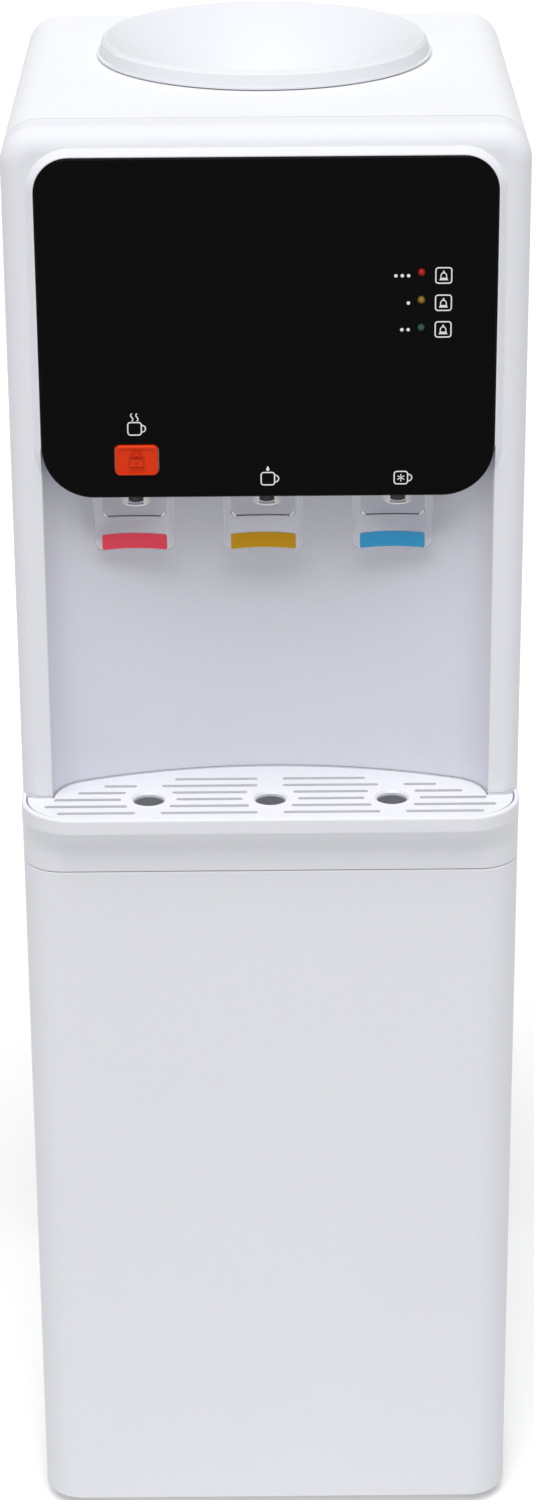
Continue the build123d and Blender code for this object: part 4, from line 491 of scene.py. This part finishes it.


# Padlock on the child-lock button: moulded in low relief on its face, in a darker orange than the button.
# Its lines stand a little proud of the face.
padlock_height = 0.00015
padlock_line = 0.0007
padlock_drop = 0.0016
lock_half_width, lock_half_height, lock_corner = 0.0043, 0.0031, 0.0008
shackle_radius, shackle_rise, shackle_foot = 0.0029, 0.0048, 0.0035
keyhole_radius, keyhole_rise = 0.0009, 0.0004
button_low, button_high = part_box("lock_button")
lock_x = (button_low.x + button_high.x) / 2
lock_z = (button_low.z + button_high.z) / 2 - padlock_drop
padlock = Ink(button_low.y, padlock_height)
padlock.ring(rounded_frame(lock_x, lock_z, lock_half_width, lock_half_height, lock_corner), padlock_line)
shackle = arc(lock_x, lock_z + shackle_rise, shackle_radius, 0, 180, 14)
shackle += [(lock_x + side * shackle_radius, lock_z + shackle_foot) for side in (-1, 1)]
padlock.ring(shackle, padlock_line)
padlock.slab(disc(lock_x, lock_z + keyhole_rise, keyhole_radius))
padlock_sign = padlock.piece("padlock_sign", moulded("button_relief", (0.64, 0.028, 0.001), 0.30, gloss=0.15))
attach(padlock_sign, "lock_button_body")


# Lamps and their board: tinted lenses in the panel over a green laminate board.
# Red and amber glow faintly, and the green one hardly at all.
# Painted highlight: how far above each lens's middle its highlight is painted.
glint_rise = 0.0006


def tinted_lens(name, node, colour, glow):
    """A lens with a painted highlight a little above its middle and painted shade towards its rim."""
    finish = Finish(bpy.data.materials.new(name))
    low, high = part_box(node)
    middle = (low + high) / 2
    across = finish.axis(finish.place(), 0) - middle.x
    upward = finish.axis(finish.place(), 2) - (middle.z + glint_rise)
    away = (across * across + upward * upward) * (1.0 / (high.x - middle.x) ** 2)
    facets = finish.node("ShaderNodeTexVoronoi", {}, {"Vector": finish.place(), "Scale": 1300.0})
    # Painted light in the tint: a highlight near the middle and shade at the rim, both carried by the lamp's
    # glow too.
    painted_highlight = [min(1.0, part * 1.5 + 0.05) for part in colour] + [1]
    painted_rim_shade = [part * 0.12 for part in colour] + [1]
    tint = finish.node("ShaderNodeValToRGB", {"stops": ((0.03, painted_highlight), (0.22, [*colour, 1]), (0.85, painted_rim_shade))},
                       {0: away + facets * 0.25})
    finish.plastic(Base_Color=tint, Roughness=0.08, Emission_Color=tint, Emission_Strength=glow,
                   Specular_IOR_Level=0.12, Normal=finish.relief(facets, 0.0002))
    return finish


dress(tinted_lens("lens_red", "lamp_hot", (0.40, 0.006, 0.006), 0.20), "lamp_hot")
dress(tinted_lens("lens_amber", "lamp_cold", (0.28, 0.17, 0.02), 0.15), "lamp_cold")
dress(tinted_lens("lens_green", "lamp_warm", (0.03, 0.10, 0.08), 0.04), "lamp_warm")
board_green = Finish(bpy.data.materials.new("board_green"))
tracks = board_green.node("ShaderNodeTexBrick", {}, {
    "Vector": board_green.node("ShaderNodeMapping", {}, {0: board_green.place(), 2: (math.pi / 2, 0.0, 0.0)}),
    "Scale": 60.0, "Mortar Size": 0.06, "Color1": (0.012, 0.11, 0.04, 1), "Color2": (0.02, 0.16, 0.06, 1),
    "Mortar": (0.10, 0.34, 0.12, 1)})
board_green.plastic(Base_Color=tracks, Roughness=0.35)
dress(board_green, "circuit_board")


# Tanks: polished stainless steel inside moulded foam jackets, the hot one with
# a sheathed heater band and the cold one inside the copper evaporator.
def drawn_metal(name, colour, roughness, grain):
    """Drawn or rolled metal: fine lines along the working direction."""
    finish = Finish(bpy.data.materials.new(name))
    lines = finish.noise(0.003, 4.0, grain)
    bloom = finish.noise(0.02, 2.0)
    darker = [part * 0.86 for part in colour] + [1]
    finish.plastic(Base_Color=finish.mixed(bloom, darker, [*colour, 1]), Metallic=1.0,
                   Roughness=lines * 0.18 + roughness - 0.09, Normal=finish.relief(lines, 0.00002))
    return finish


stainless = drawn_metal("stainless", (0.70, 0.70, 0.69), 0.28, (6.0, 6.0, 0.3))
mica_band = drawn_metal("mica_band", (0.56, 0.55, 0.51), 0.45, (0.5, 0.5, 4.0))
copper = drawn_metal("copper", (0.78, 0.38, 0.22), 0.30, (2.0, 2.0, 2.0))
dress(stainless, "hot_tank", "cold_tank", "lever_pins", "valve_springs")
dress(mica_band, "heater_band")
dress(copper, "evaporator_coil", "refrigerant_pipes")
foam = Finish(bpy.data.materials.new("foam"))
beads = foam.node("ShaderNodeTexVoronoi", {}, {"Vector": foam.place(), "Scale": 260.0})
foam.plastic(Base_Color=foam.mixed(beads, (0.84, 0.83, 0.77, 1), (0.62, 0.61, 0.55, 1)), Roughness=0.85,
             Normal=foam.relief(1 - beads, 0.0006))
dress(foam, "hot_tank_jacket", "cold_tank_jacket")


# Compressor and condenser: black enamel on a deep-drawn shell and on wires
# spot-welded across a bent tube. Dust settles on what faces up.
black_enamel = Finish(bpy.data.materials.new("black_enamel"))
upward = black_enamel.axis(black_enamel.node("ShaderNodeNewGeometry", result="Normal"), 2)
dust = black_enamel.noise(0.01, 5.0) * upward
black_enamel.plastic(Base_Color=black_enamel.mixed(dust, (0.012, 0.012, 0.013, 1), (0.20, 0.19, 0.18, 1)),
                     Roughness=dust * 0.4 + 0.24,
                     Normal=black_enamel.relief(black_enamel.noise(0.002), 0.00003))
dress(black_enamel, "compressor", "condenser")


# Rear fittings: black and grey mouldings with a red and a green rocker, clipped into
# the back panel, and the zinc-plated bolts of the compressor.
black_moulding = moulded("black_moulding", (0.022, 0.022, 0.023), 0.42, depth=0.00003)
grey_moulding = moulded("grey_moulding", (0.42, 0.43, 0.44), 0.45, depth=0.00003)
dress(black_moulding, "switch_housings", "drain_cap", "cord_gland")
dress(grey_moulding, "drain_outlet")
dress(moulded("rocker_red", (0.50, 0.016, 0.014), 0.28), "rocker_hot")
dress(moulded("rocker_green", (0.016, 0.26, 0.085), 0.28), "rocker_cold")
zinc_plate = drawn_metal("zinc_plate", (0.72, 0.72, 0.68), 0.30, (1.0, 1.0, 1.0))
dress(zinc_plate, "compressor_bolts")


# Back-panel screws: pan heads of zinc-plated steel with a cross recess, in two columns.
# They hold the back panel to the rear flanges of the side panels.
class Shape(Nodes):
    """The geometry nodes of one repeated piece, with named inputs for its sizes."""

    def __init__(self, name):
        self.name, self.values = name, {}
        self.tree = bpy.data.node_groups.new(name, "GeometryNodeTree")
        self.tree.interface.new_socket("Geometry", in_out="OUTPUT", socket_type="NodeSocketGeometry")

    def sizes(self, **named):
        """Adds an input for each size and gives them back under the same names."""
        for name, value in named.items():
            kind = "NodeSocketInt" if isinstance(value, int) else "NodeSocketFloat"
            label = name.capitalize().replace("_", " ")
            socket = self.tree.interface.new_socket(label, in_out="INPUT", socket_type=kind)
            self.values[socket.identifier] = value
        entry = self.tree.nodes.new("NodeGroupInput")
        return SimpleNamespace(**{name: Level(self, socket) for name, socket in zip(named, entry.outputs)})

    def vector(self, x, y, z):
        return self.node("ShaderNodeCombineXYZ", {}, {0: x, 1: y, 2: z})

    def moved(self, shape, x=0.0, y=0.0, z=0.0, turn=(0.0, 0.0, 0.0)):
        return self.node("GeometryNodeTransform", {}, {
            "Geometry": shape, "Translation": self.vector(x, y, z), "Rotation": turn})

    def piece(self, shape, finish, sharp_angle):
        """The finished shape as a plain mesh object."""
        real = self.node("GeometryNodeRealizeInstances", {}, {0: shape})
        painted = self.node("GeometryNodeSetMaterial", {}, {"Geometry": real, "Material": finish.owner})
        self.node("NodeGroupOutput", {}, {0: painted})
        maker = bpy.data.objects.new(self.name + "_tree", bpy.data.meshes.new(self.name + "_tree"))
        bpy.context.scene.collection.objects.link(maker)
        modifier = maker.modifiers.new("shape", "NODES")
        modifier.node_group = self.tree
        for identifier, value in self.values.items():
            modifier[identifier] = value
        evaluated = maker.evaluated_get(bpy.context.evaluated_depsgraph_get())
        mesh = bpy.data.meshes.new_from_object(evaluated)
        maker.modifiers.remove(modifier)
        bpy.data.objects.remove(maker)
        mesh.shade_smooth()
        mesh.set_sharp_from_angle(angle=sharp_angle)
        made = bpy.data.objects.new(self.name, mesh)
        bpy.context.scene.collection.objects.link(made)
        return made


screw_low, screw_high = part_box("back_panel_screws")
screw_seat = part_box("back_panel")[1].y
screw_head = 0.004
screw_middle = (screw_low + screw_high) / 2
screws = Shape("cross_recess_screws")
size = screws.sizes(
    head_radius=screw_head, head_height=screw_high.y - screw_seat, shank_radius=0.0018,
    shank_length=screw_seat - screw_low.y, recess_length=0.0044, recess_width=0.0009, recess_depth=0.0012,
    dome=0.0008, columns=2, rows=4, column_gap=screw_high.x - screw_low.x - 2 * screw_head,
    row_length=screw_high.z - screw_low.z - 2 * screw_head)
blank = screws.moved(screws.node("GeometryNodeMeshCylinder", {"fill_type": "TRIANGLE_FAN"}, {
    "Vertices": 32, "Fill Segments": 8, "Radius": size.head_radius, "Depth": size.head_height}),
    z=size.head_height * 0.5)
along = [screws.axis(screws.node("GeometryNodeInputPosition"), number) for number in range(3)]
outward = along[0] * along[0] + along[1] * along[1]
edge_share = screws.node("ShaderNodeMath", {"operation": "DIVIDE"}, {
    0: outward, 1: size.head_radius * size.head_radius})
head = screws.node("GeometryNodeSetPosition", {}, {
    "Geometry": blank, "Selection": along[2] > size.head_height * 0.5,
    "Offset": screws.vector(0.0, 0.0, edge_share * edge_share * size.dome * -1.0)})
for long_x, long_y in ((size.recess_length, size.recess_width), (size.recess_width, size.recess_length)):
    cutter = screws.node("GeometryNodeMeshCube", {}, {
        "Size": screws.vector(long_x, long_y, size.recess_depth * 2.0)})
    head = screws.node("GeometryNodeMeshBoolean", {"operation": "DIFFERENCE", "solver": "EXACT"}, {
        "Mesh 1": head, "Mesh 2": screws.moved(cutter, z=size.head_height)})
shank = screws.moved(screws.node("GeometryNodeMeshCylinder", {}, {
    "Vertices": 24, "Radius": size.shank_radius, "Depth": size.shank_length}), z=size.shank_length * -0.5)
screw = screws.node("GeometryNodeJoinGeometry", {}, {0: [head, shank]})
grid = screws.node("GeometryNodeMeshGrid", {}, {
    "Size X": size.column_gap, "Size Y": size.row_length,
    "Vertices X": size.columns, "Vertices Y": size.rows})
corners = screws.moved(grid, screw_middle.x, screw_seat, screw_middle.z, (math.pi / 2, 0.0, 0.0))
placed = screws.node("GeometryNodeInstanceOnPoints", {}, {
    "Points": corners, "Instance": screw, "Rotation": (-math.pi / 2, 0.0, 0.0)})
back_screws = screws.piece(placed, zinc_plate, math.radians(35.0))
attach(back_screws, "cabinet")
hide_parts("back_panel_screws")


# Bottle seat: the funnel that the bottle's shoulder rests on, a white moulding
# that lifts out of the collar with its probe.
# Painted shade: the seat's white is a little darker than the shell's, to hold down the lamp's light on the
# funnel's slopes.
seat_white_painted_shade = moulded("seat_white_painted_shade", (0.843, 0.850, 0.885), 0.42, wave=0.0001, gloss=0.08)
dress(seat_white_painted_shade, "bottle_seat")
